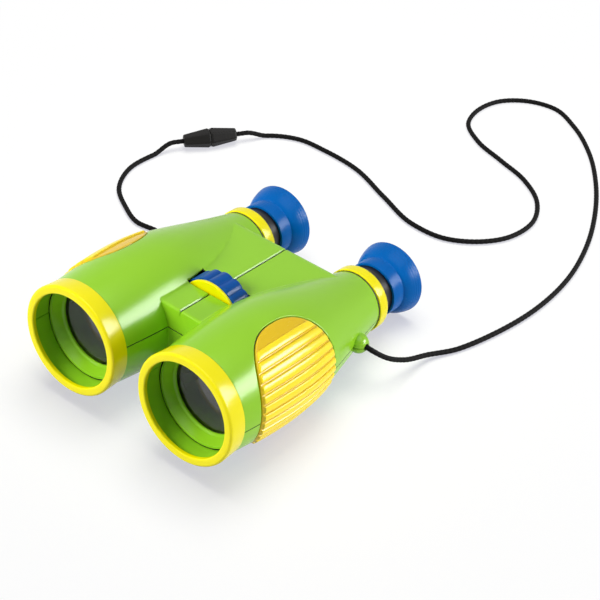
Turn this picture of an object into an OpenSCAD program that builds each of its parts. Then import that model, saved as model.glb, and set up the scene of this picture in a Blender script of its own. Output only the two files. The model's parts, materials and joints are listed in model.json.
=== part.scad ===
// Toy binoculars: a two-part housing with straight-through optics, a centre focus wheel that drives
// both eyepieces through a screw and a yoke, and a neck cord with a breakaway clasp.
// Pieces are modelled along the optical axis: X across, Y from the objective end to the eyes, Z up,
// with Y = 0 at the front of the objective rings and Z = 0 on the barrel axes. Then the whole is laid
// on its bellies and eyecups, with the origin under its middle. Left is the wearer's left, +X.

/* [Barrels] */
// Distance between the two optical axes
axis_spacing = 63; // [60:0.5:70]
// Largest radius of a barrel
belly_r = 26.15; // [25.4:0.05:27]
// How much narrower a barrel is behind its objective ring
front_taper = 1.95; // [1.7:0.05:2.2]
// Wall round the bore behind the objective ring
front_wall = 1.8; // [1.6:0.1:2]
// Distance of the largest radius from the front
belly_y = 40; // [37:0.5:43]
// Length of the necks behind the bridge
neck_l = 8.7; // [8:0.1:10]
// Wall of a neck's end round its eyepiece tube
neck_wall = 2.8; // [2.6:0.1:3]
// Wall of the housing
shell_wall = 2; // [1.6:0.1:2.4]
// Height of the parting line on the outer sides, from the barrel axes
side_part_z = -2; // [-3:0.5:0]

/* [Bridge] */
// Distance of the bridge from the front
bridge_y = 31.3; // [29:0.1:32]
// Distance of the front bulkhead from the front of the bridge
bulkhead_inset = 8.7; // [8.4:0.1:9]
// Room behind the yoke, for its travel and the rear screws
rear_room = 17.8; // [17:0.1:19]
// Half the height of the bridge
bridge_h = 16.2; // [15.8:0.1:16.6]
// Half the width of the block that joins the barrels
bridge_half = 28; // [26:0.5:29]
// Radius of the bridge's long edges
bridge_edge = 1.2; // [0.6:0.1:1.6]
// Gap between the flat under the bridge and the barrels
flat_margin = 0.5; // [0.3:0.1:1]
// How far the underside rises from that flat to the sides of the block
underside_rise = 0.7; // [0.4:0.1:1]
// Width of the groove along the top
groove_w = 0.9; // [0.6:0.1:1.4]

/* [Objective end] */
// Length of an objective ring
ring_l = 8.8; // [8:0.1:9.4]
// How far an objective ring stands out from its barrel at the front
ring_stand = 0.8; // [0.6:0.1:1.8]
// How far it stands out at the rear
ring_rear_stand = 0.25; // [0.2:0.05:0.5]
// How far the ring's lip reaches into the bore
ring_reach = 1.3; // [0.8:0.1:2]
// Thickness of the ring's front lip
ring_lip = 1.9; // [1.4:0.1:2.4]
// Radius of the ring's rounded front edge
ring_edge = 1.2; // [0.6:0.1:1.4]
// Depth of the collar's front edge
collar_y = 10.1; // [9.6:0.1:11]
// Depth of the lens behind its collar
lens_y = 15.8; // [15:0.1:17]
// Width of the ledge from the bore to the objective lens
lens_ledge = 2.4; // [2:0.1:2.9]
// How far the collar reaches over the lens
lens_hold = 2.2; // [1.8:0.1:2.6]
// Thickness of the objective lens at its rim
lens_rim = 2.2; // [1.6:0.1:2.6]
// Rise of each face of the objective lens
lens_rise = 1.4; // [0.8:0.1:2]

/* [Eyepieces] */
// Outer radius of an eyepiece tube
tube_r = 11.4; // [11.2:0.05:11.5]
// Wall of an eyepiece tube
tube_wall = 1.4; // [1.2:0.1:1.6]
// Length of the tube that shows between rear ring and eyecup
tube_show = 6.4; // [5.6:0.1:7.4]
// Length of a rear ring
rear_ring_l = 6.3; // [5.6:0.1:7]
// How far a rear ring stands out from its neck
rear_ring_stand = 0.4; // [0.3:0.05:0.8]
// Thickness of the rear ring's end wall
rear_ring_lip = 1.6; // [1.2:0.1:2]
// Wall of an eyecup's collar
cup_collar_wall = 1.3; // [1.1:0.1:1.8]
// Length of an eyecup's collar
cup_collar_l = 6.5; // [6:0.1:7]
// Length of the tube inside an eyecup
cup_grip_l = 5; // [4:0.1:5.6]
// How far an eyecup flares out from its collar
cup_flare = 3.8; // [3.2:0.1:4.4]
// Length of an eyecup's bowl
cup_bowl_l = 8.6; // [8:0.1:10]
// Wall of an eyecup's bowl
cup_wall = 1.5; // [1.2:0.1:1.8]
// How far an eyecup's floor reaches in over the tube
cup_lip = 2.4; // [2:0.1:3]
// Thickness of an eye lens at its rim
eye_lens_rim = 3.2; // [2.6:0.1:3.6]
// Hollow of each face of an eye lens
eye_lens_hollow = 0.8; // [0.4:0.1:1.1]

/* [Focus] */
// Height of the wheel's axis over the barrel axes
shaft_z = 5.2; // [4.6:0.1:5.6]
// Radius of the wheel over its lobes
wheel_r = 16.4; // [15.8:0.1:16.8]
// Number of lobes on the wheel
lobe_count = 16; // [12:1:20]
// Radius of each lobe
lobe_r = 4.6; // [4.2:0.1:5]
// Distance of the wheel's disc from the front bulkhead
hub_l = 6.6; // [6:0.1:7.2]
// Width of the wheel's rim
wheel_w = 9.2; // [8.6:0.1:9.6]
// How much smaller the disc on the wheel's front is
disc_inset = 0.8; // [0.7:0.1:1.2]
// Thickness of that disc
disc_t = 1.2; // [1:0.1:1.5]
// Radius of the wheel's shaft
shaft_r = 2.5; // [2.2:0.1:2.7]
// Radius of the focus screw
screw_r = 3; // [2.9:0.1:3.3]
// Thickness of the two walls that carry the shaft
bulkhead_t = 3; // [2.4:0.1:3.4]
// Half the width of those walls
bulkhead_half = 13; // [12:0.5:14]
// Wall between the slot and the rear bulkhead
slot_wall = 2.3; // [2:0.1:2.8]
// Room in front of the yoke, for its travel
yoke_room = 9; // [8:0.1:10]
// Thickness of the yoke
yoke_t = 6; // [5:0.5:6.5]

/* [Grips] */
// Distance of a grip's middle behind the belly
grip_offset = 2; // [1:0.1:3]
// Half the length of a grip
grip_half_l = 23.7; // [22:0.1:24.5]
// Half the angle that a grip covers
grip_half_angle = 74; // [68:0.5:76]
// Squareness of a grip's outline, where 2 is an ellipse
grip_square = 2.4; // [2:0.1:3]
// Depth of a grip's recess
grip_depth = 1.2; // [0.9:0.1:1.3]
// Gap round a grip
grip_gap = 0.5; // [0.4:0.05:0.7]
// Gap under a grip's flat steps
grip_seat = 0.17; // [0.14:0.01:0.24]
// Number of ribs on a grip
rib_count = 13; // [9:2:13]
// Angle from one rib to the next
rib_pitch = 9.2; // [8:0.1:9.4]
// Height of a rib
rib_h = 0.5; // [0.3:0.05:0.8]

/* [Fasteners] */
// Distance of each screw from the middle plane
fastener_x = 8; // [7.4:0.1:8.6]
// Distance of the screws from the ends of the bridge
fastener_inset = 5.9; // [5.6:0.1:6.2]
// Radius of a boss
boss_r = 4.2; // [4:0.1:4.4]
// Radius of a screw's shank
shank_r = 1.4; // [1.2:0.05:1.5]
// Radius of a screw's head
head_r = 2.8; // [2.5:0.1:3]
// Thickness of a screw's head
head_t = 1.8; // [1.4:0.1:2]
// Depth of a screw's head under the surface
head_depth = 1.2; // [0.8:0.1:1.6]
// Plastic left over a screw's tip
tip_cover = 3; // [2.4:0.1:3.6]

/* [Neck cord] */
// Diameter of the cord
cord_d = 2.4; // [2:0.1:2.6]
// Distance of the lugs from the rear of the bridge
lug_inset = 10.8; // [10:0.1:12]
// Radius of a lug
lug_r = 4.4; // [4.2:0.1:4.8]
// How far a lug's ball stands out from the barrel
lug_stand = 0.4; // [0.2:0.1:0.8]
// How deep the knot sits in a lug
knot_inset = 1.3; // [1:0.1:1.6]
// Radius of the knot in a lug
knot_r = 2.3; // [2:0.1:2.5]
// Length of the closed clasp
clasp_l = 26.4; // [24:0.2:30]
// Radius of the clasp over its corners, in the middle
clasp_mid_r = 4.9; // [4.6:0.1:5]
// Radius of the clasp over its corners, at its ends
clasp_end_r = 3.2; // [2.8:0.1:3.6]
// Radius of the pin between the clasp's halves
clasp_pin_r = 2; // [1.6:0.1:2.4]
// Length of that pin
clasp_pin_l = 5; // [4:0.1:6]
// Grid that the cord's lie is drawn on
cord_grid = 10; // [9:0.1:11]

/* [Clearances] */
// Gap of seated pieces that don't move
seat_gap = 0.05; // [0.03:0.01:0.08]
// Gap of turning and sliding fits
run_gap = 0.06; // [0.03:0.01:0.09]
// Gap at the ends of the shaft
end_play = 0.25; // [0.2:0.05:0.35]
// Gap round the wheel in its slot
wheel_gap = 0.7; // [0.5:0.1:0.9]
// Gap round a screw
screw_gap = 0.3; // [0.2:0.05:0.4]
// Gap round the knot and the cord in a lug
cord_gap = 0.2; // [0.15:0.01:0.25]
// Gap round an eyepiece tube inside its neck
neck_gap = 0.5; // [0.4:0.1:0.7]

/* [Hidden] */
$fn = 64;
round_steps = 5;
curve_steps = 7;
half_spacing = axis_spacing / 2;

// Places from front to back
front_bulkhead_y = bridge_y + bulkhead_inset;
disc_y = front_bulkhead_y + bulkhead_t + hub_l;
wheel_y = disc_y + disc_t;
slot_front = disc_y - wheel_gap;
slot_rear = wheel_y + wheel_w + wheel_gap;
rear_bulkhead_y = slot_rear + slot_wall;
yoke_y = rear_bulkhead_y + bulkhead_t + yoke_room;
bridge_end = yoke_y + yoke_t + rear_room;
bridge_l = bridge_end - bridge_y;
body_l = bridge_end + neck_l;
lug_y = bridge_end - lug_inset;
grip_y = belly_y + grip_offset;

// Radii from the barrels inwards
barrel_front_r = belly_r - front_taper;
bore_r = barrel_front_r - front_wall;
ring_r = barrel_front_r + ring_stand;
ring_rear_r = barrel_front_r + ring_rear_stand;
ring_bore_r = bore_r - ring_reach;
lens_r = bore_r - lens_ledge;
lens_clear_r = lens_r - lens_hold;
neck_r = tube_r + neck_wall;
rear_ring_r = neck_r + rear_ring_stand;
cup_collar_r = tube_r + cup_collar_wall;
cup_r = cup_collar_r + cup_flare;
cup_hole_r = tube_r - cup_lip;

// Outline of a barrel: one curve up to the belly and one down to the neck, as [radius, distance]
front_reach = [11, 10];
front_swell = 0.6;
rear_reach = [23, 36];
neck_rise = 7.2;
function bezier(a, b, c, d, t) =
    a * pow(1 - t, 3) + b * 3 * pow(1 - t, 2) * t + c * 3 * (1 - t) * t * t + d * pow(t, 3);
function curve(a, b, c, d, n) = [for (i = [0:n]) bezier(a, b, c, d, i / n)];
function arc(at, r, from, to) =
    [for (i = [0:round_steps]) let (a = from + (to - from) * i / round_steps) at + r * [cos(a), sin(a)]];
front_curve = curve(
    [barrel_front_r, ring_l],
    [barrel_front_r + front_taper * front_swell, ring_l + front_reach[0]],
    [belly_r, belly_y - front_reach[1]],
    [belly_r, belly_y],
    curve_steps
);
rear_curve = curve(
    [belly_r, belly_y],
    [belly_r, belly_y + rear_reach[0]],
    [neck_r + neck_rise, body_l - rear_reach[1]],
    [neck_r, body_l],
    2 * curve_steps
);
barrel_outline = concat(front_curve, [for (i = [1:len(rear_curve) - 1]) rear_curve[i]]);
barrel_table = [for (p = barrel_outline) [p[1], p[0]]];
function barrel_r(y) = lookup(y, barrel_table);

// Objective end
spigot_y = ring_lip + seat_gap;
spigot_share = 0.65;
spigot_r = bore_r + (ring_rear_r - bore_r) * spigot_share;
lens_seat_y = lens_y + lens_rim;
lens_seat_t = shell_wall;
lens_seat_r = lens_clear_r + lens_hold / 5;
lens_back_y = lens_seat_y + lens_seat_t;

// Eyepiece end
rear_ring_y = body_l;
rear_face_y = rear_ring_y + rear_ring_l;
tail_y = rear_face_y - rear_ring_lip - seat_gap;
tail_bore_r = tube_r + neck_gap;
tail_r = (tail_bore_r + rear_ring_r) / 2;
tail_bore_y = body_l - shell_wall;
cup_y = rear_face_y + tube_show;
cup_floor_y = cup_y + cup_grip_l;
bowl_y = cup_y + cup_collar_l;
rim_y = bowl_y + cup_bowl_l;
rim_share = 0.4;
rim_round = cup_wall * rim_share;
eye_lens_share = 0.6;
eye_lens_r = tube_r - tube_wall * eye_lens_share;

// Bridge and focus drive
flat_half = half_spacing - sqrt(pow(belly_r, 2) - pow(bridge_h, 2)) - flat_margin;
disc_r = wheel_r - disc_inset;
slot_half = sqrt(pow(wheel_r, 2) - pow(bridge_h - shell_wall - shaft_z, 2)) + wheel_gap;
collar_r = shaft_r * 1.68;
shaft_front = front_bulkhead_y - end_play * 4;
screw_start = rear_bulkhead_y + bulkhead_t + end_play;
screw_end = bridge_end - shell_wall * 4;
lobe_circle_r = wheel_r - lobe_r;

// Fasteners, from below into the upper half
fastener_ys = [bridge_y + fastener_inset, bridge_end - fastener_inset];
seat_z = -bridge_h + head_depth + head_t;
shank_top = bridge_h - shell_wall - tip_cover;

// Lugs
lug_x = half_spacing + barrel_r(lug_y);
lug_round_x = lug_x + lug_stand;
lug_tip = lug_round_x + lug_r;
knot_x = lug_x - knot_inset;
knot_flat = 0.8;
knot_face_x = knot_x + knot_r * knot_flat;
cord_r = cord_d / 2;
cord_bore_r = cord_r + cord_gap;

// Lie of the part: tangent to the belly of the barrels and to the eyecup's rounded rim
function lie_angle(p) = let (drop = p[0] - (cup_r - rim_round), run = rim_y - rim_round - p[1])
    atan2(drop, run) - asin(rim_round / norm([drop, run]));
tilt = max([for (p = barrel_outline) lie_angle(p)]);
lift = (rim_y - rim_round) * sin(tilt) + (cup_r - rim_round) * cos(tilt) + rim_round;
front_reach_y = ring_edge * cos(tilt) - (ring_r - ring_edge) * sin(tilt) - ring_edge;
rear_reach_y = (rim_y - rim_round) * cos(tilt) + (cup_r - rim_round) * sin(tilt) + rim_round;
mid_y = (front_reach_y + rear_reach_y) / 2;
function lain(p) =
    [p[0], p[1] * cos(tilt) + p[2] * sin(tilt) - mid_y, p[2] * cos(tilt) - p[1] * sin(tilt) + lift];

// Neck cord, on the surface that the part lies on. Points are in the part's frame: beside a lug as
// steps out and back from its tip with a share of its height, and beyond that on the cord's grid.
cord_rest = cord_r / 8;
cord_z = cord_r + cord_rest;
cord_sides = 8;
clasp_place = [-11.1, 10.7];
clasp_z = clasp_mid_r * 0.92;
clasp_turn = 234;
clasp_neck = clasp_mid_r / 2;
clasp_way = [cos(clasp_turn), sin(clasp_turn), 0];
clasp_at = [clasp_place[0] * cord_grid, clasp_place[1] * cord_grid, clasp_z];
long_lead = [[0.26, 0.04, 0.97], [0.6, 0.48, 0.74], [0.88, 1.46, 0.41], [1.13, 2.86, 0.15]];
long_lay = [
    [7.3, 6.3], [7.9, 8.2], [8.3, 10.7], [8.2, 13.3], [7.6, 15.7], [6.5, 18.2], [5.2, 20.3], [3.5, 22.3],
    [1.7, 23.7], [0.1, 24.4], [-1.3, 24.1], [-2.5, 23], [-2.8, 21.8], [-2.5, 20.5], [-1.2, 19.5], [0.6, 18.9],
    [2.4, 18.3], [3.9, 17.2], [4.6, 15.8], [4.4, 14.1], [3.4, 12.8], [2.2, 12.1], [0.4, 12], [-1.9, 12.8],
    [-4.3, 13.7], [-6.4, 13.9], [-8, 13.8], [-9.4, 13]
];
short_lay = [
    [-12.5, 8.1], [-12.6, 6.6], [-11.9, 5.1], [-10.6, 4.2], [-9.4, 3.7], [-8.2, 3.8]
];
short_lead = [[1.53, 1.56, 0.26], [0.72, 0.64, 0.64], [0.26, 0.04, 0.97]];
function lead(side, steps) = let (tip = lain([side * lug_tip, lug_y, side_part_z]))
    [for (p = steps) [tip[0] + side * p[0] * cord_grid, tip[1] + p[1] * cord_grid, tip[2] * p[2]]];
function laid(points) = [for (p = points) [p[0] * cord_grid, p[1] * cord_grid, cord_z]];
function clasped(way, necks) =
    [for (n = necks) clasp_at + way * clasp_way * (clasp_l / 2 + seat_gap + n * clasp_neck)];
function bored(side, share) =
    lain([side * (knot_face_x + seat_gap + (lug_tip - knot_face_x) * share), lug_y, side_part_z]);
long_route = concat(
    [bored(1, 0), bored(1, 0.5), bored(1, 1)],
    lead(1, long_lead),
    laid(long_lay),
    clasped(-1, [2, 1, 0])
);
short_route = concat(
    clasped(1, [0, 1, 2]),
    laid(short_lay),
    lead(-1, short_lead),
    [bored(-1, 1), bored(-1, 0.5), bored(-1, 0)]
);

// Places
module lain_down() {
    translate([0, -mid_y, lift]) rotate([-tilt, 0, 0]) children();
}
module on_barrel(side) {
    translate([side * half_spacing, 0, 0]) children();
}
module on_shaft() {
    translate([0, 0, shaft_z]) children();
}
module mirrored(side) {
    mirror([side < 0 ? 1 : 0, 0, 0]) children();
}

// A profile of [radius, distance] turned about the Y axis
module turned(profile) {
    rotate([-90, 0, 0]) rotate_extrude() polygon(profile);
}
// A rod along Y, and one along X
module rod_y(r, from, to) {
    translate([0, from, 0]) rotate([-90, 0, 0]) cylinder(r = r, h = to - from);
}
module rod_x(r, from, to) {
    translate([from, 0, 0]) rotate([0, 90, 0]) cylinder(r = r, h = to - from);
}

// Housing
module barrel_solid() {
    turned(concat(
        [[0, spigot_y], [spigot_r, spigot_y], [spigot_r, ring_l]],
        barrel_outline,
        [[tail_r, body_l], [tail_r, tail_y], [0, tail_y]]
    ));
}
module barrel_hollow() {
    turned(concat(
        [
            [0, spigot_y - 1], [bore_r, spigot_y - 1], [bore_r, lens_y], [lens_r + seat_gap, lens_y],
            [lens_r + seat_gap, lens_seat_y], [lens_seat_r, lens_seat_y], [lens_seat_r, lens_back_y],
            [barrel_r(lens_back_y) - shell_wall, lens_back_y]
        ],
        [
            for (p = barrel_outline)
                if (p[1] > lens_back_y + 1 && p[1] < tail_bore_y - 1) [p[0] - shell_wall, p[1]]
        ],
        [
            [barrel_r(tail_bore_y) - shell_wall, tail_bore_y], [tail_bore_r, tail_bore_y],
            [tail_bore_r, tail_y + 1], [0, tail_y + 1]
        ]
    ));
}
// A bar across the bridge whose long edges are rounded
module bridge_bar(from, to, half_h, edge, half_w) {
    side = concat(
        arc([to - edge, half_h - edge], edge, 0, 90),
        arc([from + edge, half_h - edge], edge, 90, 180),
        arc([from + edge, edge - half_h], edge, 180, 270),
        arc([to - edge, edge - half_h], edge, 270, 360)
    );
    rotate([90, 0, 90]) linear_extrude(height = 2 * half_w, center = true) polygon(side);
}
// What the underside leaves free on one side, where it rises from its flat towards a barrel
module underside_slope() {
    beyond = 1;
    run = bridge_half - flat_half;
    slope = underside_rise / run;
    translate([0, bridge_end + beyond, 0]) rotate([90, 0, 0]) linear_extrude(height = bridge_l + 2 * beyond)
        polygon([
            [flat_half, -bridge_h], [bridge_half + beyond, -bridge_h + slope * (run + beyond)],
            [bridge_half + beyond, -bridge_h - beyond], [flat_half, -bridge_h - beyond]
        ]);
}
module block(from, to) {
    translate(from) cube(to - from);
}
module lug_solid() {
    translate([0, lug_y, side_part_z]) {
        rod_x(lug_r, half_spacing, lug_round_x);
        translate([lug_round_x, 0, 0]) rotate([0, 90, 0]) sphere(r = lug_r);
    }
}
module lug_hollow() {
    translate([0, lug_y, side_part_z]) {
        rod_x(knot_r + cord_gap, half_spacing, knot_x);
        translate([knot_x, 0, 0]) rotate([0, 90, 0]) sphere(r = knot_r + cord_gap);
        rod_x(cord_bore_r, knot_x, lug_tip + 1);
    }
}
module bulkheads() {
    for (y = [front_bulkhead_y, rear_bulkhead_y])
        block(
            [-bulkhead_half, y, -bridge_h + shell_wall / 2],
            [bulkhead_half, y + bulkhead_t, bridge_h - shell_wall / 2]
        );
}
module at_fasteners() {
    for (x = [-fastener_x, fastener_x], y = fastener_ys)
        translate([x, y, 0]) children();
}
module fastener_boss() {
    translate([0, 0, -bridge_h + shell_wall / 2]) cylinder(r = boss_r, h = 2 * bridge_h - shell_wall);
}
module fastener_holes() {
    translate([0, 0, -bridge_h - 1]) cylinder(r = head_r + screw_gap, h = seat_z + bridge_h + 1);
    translate([0, 0, -bridge_h]) cylinder(r = shank_r + screw_gap, h = bridge_h + shaft_z);
    cylinder(r = shank_r + seat_gap, h = shank_top + 1);
}
module groove() {
    translate([0, bridge_y, bridge_h])
        rotate([-90, 45, 0])
        translate([-groove_w / 2, -groove_w / 2, -1])
        cube([groove_w, groove_w, bridge_l + 2]);
}
module housing() {
    difference() {
        union() {
            difference() {
                union() {
                    for (side = [-1, 1]) {
                        on_barrel(side) barrel_solid();
                        mirrored(side) lug_solid();
                    }
                    difference() {
                        bridge_bar(bridge_y, bridge_end, bridge_h, bridge_edge, bridge_half);
                        for (side = [-1, 1])
                            mirrored(side) underside_slope();
                    }
                }
                for (side = [-1, 1])
                    on_barrel(side) barrel_hollow();
                block(
                    [-bridge_half, bridge_y + shell_wall, -bridge_h + shell_wall],
                    [bridge_half, bridge_end - shell_wall, bridge_h - shell_wall]
                );
            }
            bulkheads();
            at_fasteners() fastener_boss();
        }
        block([-slot_half, slot_front, shaft_z], [slot_half, slot_rear, belly_r]);
        on_shaft() rod_y(shaft_r + run_gap, bridge_y + shell_wall, bridge_end - shell_wall);
        at_fasteners() fastener_holes();
        groove();
        for (side = [-1, 1])
            mirrored(side) {
                lug_hollow();
                on_barrel(1) grip_recess();
            }
    }
}
// Everything under the parting line, which steps up to the shaft between the barrels
module lower_room() {
    reach = 100;
    translate([0, reach * 2, 0]) rotate([90, 0, 0]) linear_extrude(height = reach * 3) polygon([
        [-reach, -reach], [reach, -reach], [reach, side_part_z], [half_spacing, side_part_z],
        [half_spacing, shaft_z], [-half_spacing, shaft_z], [-half_spacing, side_part_z],
        [-reach, side_part_z]
    ]);
}
module top_shell() {
    color("yellowgreen") lain_down() difference() {
        housing();
        lower_room();
    }
}
module bottom_shell() {
    color("yellowgreen") lain_down() intersection() {
        housing();
        lower_room();
    }
}
module shell_screw() {
    translate([0, 0, seat_z - head_t]) cylinder(r = head_r, h = head_t);
    translate([0, 0, seat_z - head_t / 2]) cylinder(r = shank_r, h = shank_top - seat_z + head_t / 2);
}
module shell_screws() {
    color("silver") lain_down() at_fasteners() shell_screw();
}

// Objective end
module objective_ring(side) {
    color("yellow") lain_down() on_barrel(side) turned(concat(
        [[ring_bore_r, ring_lip], [ring_bore_r, ring_edge / 2], [ring_bore_r + ring_edge / 2, 0]],
        arc([ring_r - ring_edge, ring_edge], ring_edge, -90, 0),
        [[ring_rear_r, ring_l], [spigot_r + seat_gap, ring_l], [spigot_r + seat_gap, ring_lip]]
    ));
}
module lens_collar(side) {
    edge = 0.8;
    color("yellowgreen") lain_down() on_barrel(side) turned([
        [bore_r - seat_gap, collar_y], [bore_r - seat_gap, lens_y], [lens_clear_r, lens_y],
        [lens_clear_r, lens_y - edge], [lens_clear_r + edge, lens_y - 2 * edge], [bore_r - 2 * edge, collar_y]
    ]);
}
// A lens about Y between two caps. A positive rise bulges, a negative one hollows.
function cap(r, rise, y, way) = [
    for (i = [0:round_steps])
        let (x = r * i / round_steps) [x, y + way * rise * (1 - pow(x / r, 2))]
];
function reversed(list) = [for (i = [len(list) - 1:-1:0]) list[i]];
module objective_lens(side) {
    color("lightcyan") lain_down() on_barrel(side) turned(concat(
        cap(lens_seat_r - 1, lens_rise, lens_y, -1),
        [[lens_r, lens_y], [lens_r, lens_seat_y]],
        reversed(cap(lens_seat_r - 1, lens_rise, lens_seat_y, 1))
    ));
}

// Grips: panels that follow the barrel, with ribs along it. Theta is the angle up from the outer side.
grip_us = [0, 0.05, 0.2, 0.4, 0.6, 0.8, 0.95, 1];
grip_end = grip_half_angle * 0.985;
rib_crest = rib_pitch * 0.46;
rib_flank = rib_pitch * 0.14;
rib_offsets = [-rib_crest / 2 - rib_flank, -rib_crest / 2, rib_crest / 2, rib_crest / 2 + rib_flank];
rib_rises = [0, 1, 1, 0];
rib_first = -rib_pitch * (rib_count - 1) / 2;
rib_rows = [
    for (k = [0:rib_count - 1], m = [0:3]) [rib_first + k * rib_pitch + rib_offsets[m], rib_rises[m]]
];
plain_from = rib_rows[len(rib_rows) - 1][0];
plain_rows = [for (s = [0.4, 0.75, 1]) plain_from + (grip_end - plain_from) * s];
grip_rows = concat(
    [for (i = [2:-1:0]) [-plain_rows[i], 0]], rib_rows, [for (t = plain_rows) [t, 0]]
);
grip_face = 0.15;
grip_sink = 0.3;
function grip_reach(theta) =
    grip_half_l * pow(1 - pow(abs(theta) / grip_half_angle, grip_square), 1 / grip_square);
function on_grip(y, theta, stand) =
    let (r = barrel_r(y) + stand) [r * cos(theta), y, r * sin(theta)];
function grip_stand(u, row) =
    u == 0 || u == 1 || abs(row[0]) == grip_end ? -grip_sink : grip_face + rib_h * row[1];
function grip_point(u, row, stand) =
    on_grip(grip_y + (2 * u - 1) * grip_reach(row[0]), row[0], stand);
module grip_panel() {
    m = len(grip_us);
    n = len(grip_rows);
    outer = [for (row = grip_rows, u = grip_us) grip_point(u, row, grip_stand(u, row))];
    inner = [for (row = grip_rows, u = grip_us) grip_point(u, row, grip_seat - grip_depth)];
    o = function (i, j) j * m + i;
    p = function (i, j) m * n + j * m + i;
    quads = concat(
        [for (j = [0:n - 2], i = [0:m - 2]) [o(i, j), o(i, j + 1), o(i + 1, j + 1), o(i + 1, j)]],
        [for (j = [0:n - 2], i = [0:m - 2]) [p(i, j), p(i + 1, j), p(i + 1, j + 1), p(i, j + 1)]],
        [for (i = [0:m - 2]) [p(i, 0), o(i, 0), o(i + 1, 0), p(i + 1, 0)]],
        [for (i = [0:m - 2]) [p(i + 1, n - 1), o(i + 1, n - 1), o(i, n - 1), p(i, n - 1)]],
        [for (j = [0:n - 2]) [p(0, j), p(0, j + 1), o(0, j + 1), o(0, j)]],
        [for (j = [0:n - 2]) [o(m - 1, j), o(m - 1, j + 1), p(m - 1, j + 1), p(m - 1, j)]]
    );
    polyhedron(concat(outer, inner), split_quads(quads));
}
function split_quads(quads) = [for (q = quads, half = [[0, 1, 2], [0, 2, 3]]) [for (k = half) q[k]]];
// The recess for a grip: a band under the barrel's surface, kept only inside the grip's outline
module grip_recess() {
    band_from = grip_y - grip_half_l - 2;
    band_to = grip_y + grip_half_l + 2;
    floor_points = concat(
        [[barrel_r(band_from), band_from]],
        [for (p = barrel_outline) if (p[1] > band_from + 0.5 && p[1] < band_to - 0.5) p],
        [[barrel_r(band_to), band_to]]
    );
    floor_line = [for (p = floor_points) p - [grip_depth, 0]];
    intersection() {
        turned(concat(floor_line, [[belly_r + 2, band_to], [belly_r + 2, band_from]]));
        grip_wedge();
    }
}
// A wedge that opens from the barrel's axis with the grip's outline, a little wider all round
module grip_wedge() {
    steps = 52;
    near_r = belly_r / 2;
    far_r = belly_r * 1.8;
    bend = 2 / grip_square;
    wide_l = grip_half_l + grip_gap;
    wide_angle = grip_half_angle + grip_gap / belly_r * 180 / PI;
    spow = function (v, e) sign(v) * pow(abs(v), e);
    place = function (r, y, theta) [r * cos(theta), y, r * sin(theta)];
    edge = [
        for (k = [0:steps - 1])
            let (a = 360 * (k + 0.5) / steps)
            [grip_y + wide_l * spow(cos(a), bend), wide_angle * spow(sin(a), bend)]
    ];
    near = [for (e = edge) place(near_r, e[0], e[1])];
    far = [for (e = edge) place(far_r, e[0], e[1])];
    next = function (k) (k + 1) % steps;
    quads = [for (k = [0:steps - 1]) [steps + k, steps + next(k), next(k), k]];
    near_cap = [for (k = [0:steps - 1]) [2 * steps, k, next(k)]];
    far_cap = [for (k = [0:steps - 1]) [2 * steps + 1, steps + next(k), steps + k]];
    polyhedron(
        concat(near, far, [place(near_r, grip_y, 0), place(far_r, grip_y, 0)]),
        concat(split_quads(quads), near_cap, far_cap)
    );
}
module grip(side) {
    color("gold") lain_down() mirrored(side) on_barrel(1) grip_panel();
}

// Eyepiece end
module rear_ring(side) {
    edge = 0.6;
    color("yellow") lain_down() on_barrel(side) turned(concat(
        [[tail_r + seat_gap, rear_ring_y], [tail_r + seat_gap, tail_y + seat_gap]],
        [[tube_r + run_gap, tail_y + seat_gap], [tube_r + run_gap, rear_face_y]],
        reversed(arc([rear_ring_r - edge, rear_face_y - edge], edge, 0, 90)),
        reversed(arc([rear_ring_r - edge, rear_ring_y + edge], edge, -90, 0))
    ));
}
module eyepiece_tube(side) {
    lens_from = cup_floor_y - eye_lens_rim;
    color("dimgray") lain_down() on_barrel(side) turned([
        [tube_r - tube_wall, yoke_y], [tube_r, yoke_y], [tube_r, cup_floor_y],
        [eye_lens_r + seat_gap, cup_floor_y], [eye_lens_r + seat_gap, lens_from],
        [tube_r - tube_wall, lens_from]
    ]);
}
module eyepiece_lens(side) {
    lens_from = cup_floor_y - eye_lens_rim;
    color("lightcyan") lain_down() on_barrel(side) turned(concat(
        cap(cup_hole_r, -eye_lens_hollow, lens_from, -1),
        [[eye_lens_r, lens_from], [eye_lens_r, cup_floor_y]],
        reversed(cap(cup_hole_r, -eye_lens_hollow, cup_floor_y, 1))
    ));
}
module eyecup(side) {
    bowl_r = cup_r - cup_wall;
    bowl_floor = bowl_y + cup_wall / 2;
    outside = curve(
        [cup_collar_r, bowl_y], [cup_collar_r + 2.2, bowl_y + 1],
        [cup_r - 0.2, bowl_y + 4], [cup_r, rim_y - rim_round], curve_steps
    );
    inside = curve(
        [bowl_r, rim_y - rim_round], [bowl_r - 0.2, bowl_y + 5.4],
        [cup_collar_r - 0.4, bowl_floor + 1], [cup_hole_r, bowl_floor], curve_steps
    );
    color("royalblue") lain_down() on_barrel(side) turned(concat(
        [[tube_r + seat_gap, cup_y], [cup_collar_r, cup_y]],
        outside,
        arc([cup_r - rim_round, rim_y - rim_round], rim_round, 18, 90),
        [[bowl_r + rim_round / 2, rim_y]],
        inside,
        [[cup_hole_r, cup_floor_y], [tube_r + seat_gap, cup_floor_y]]
    ));
}

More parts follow.
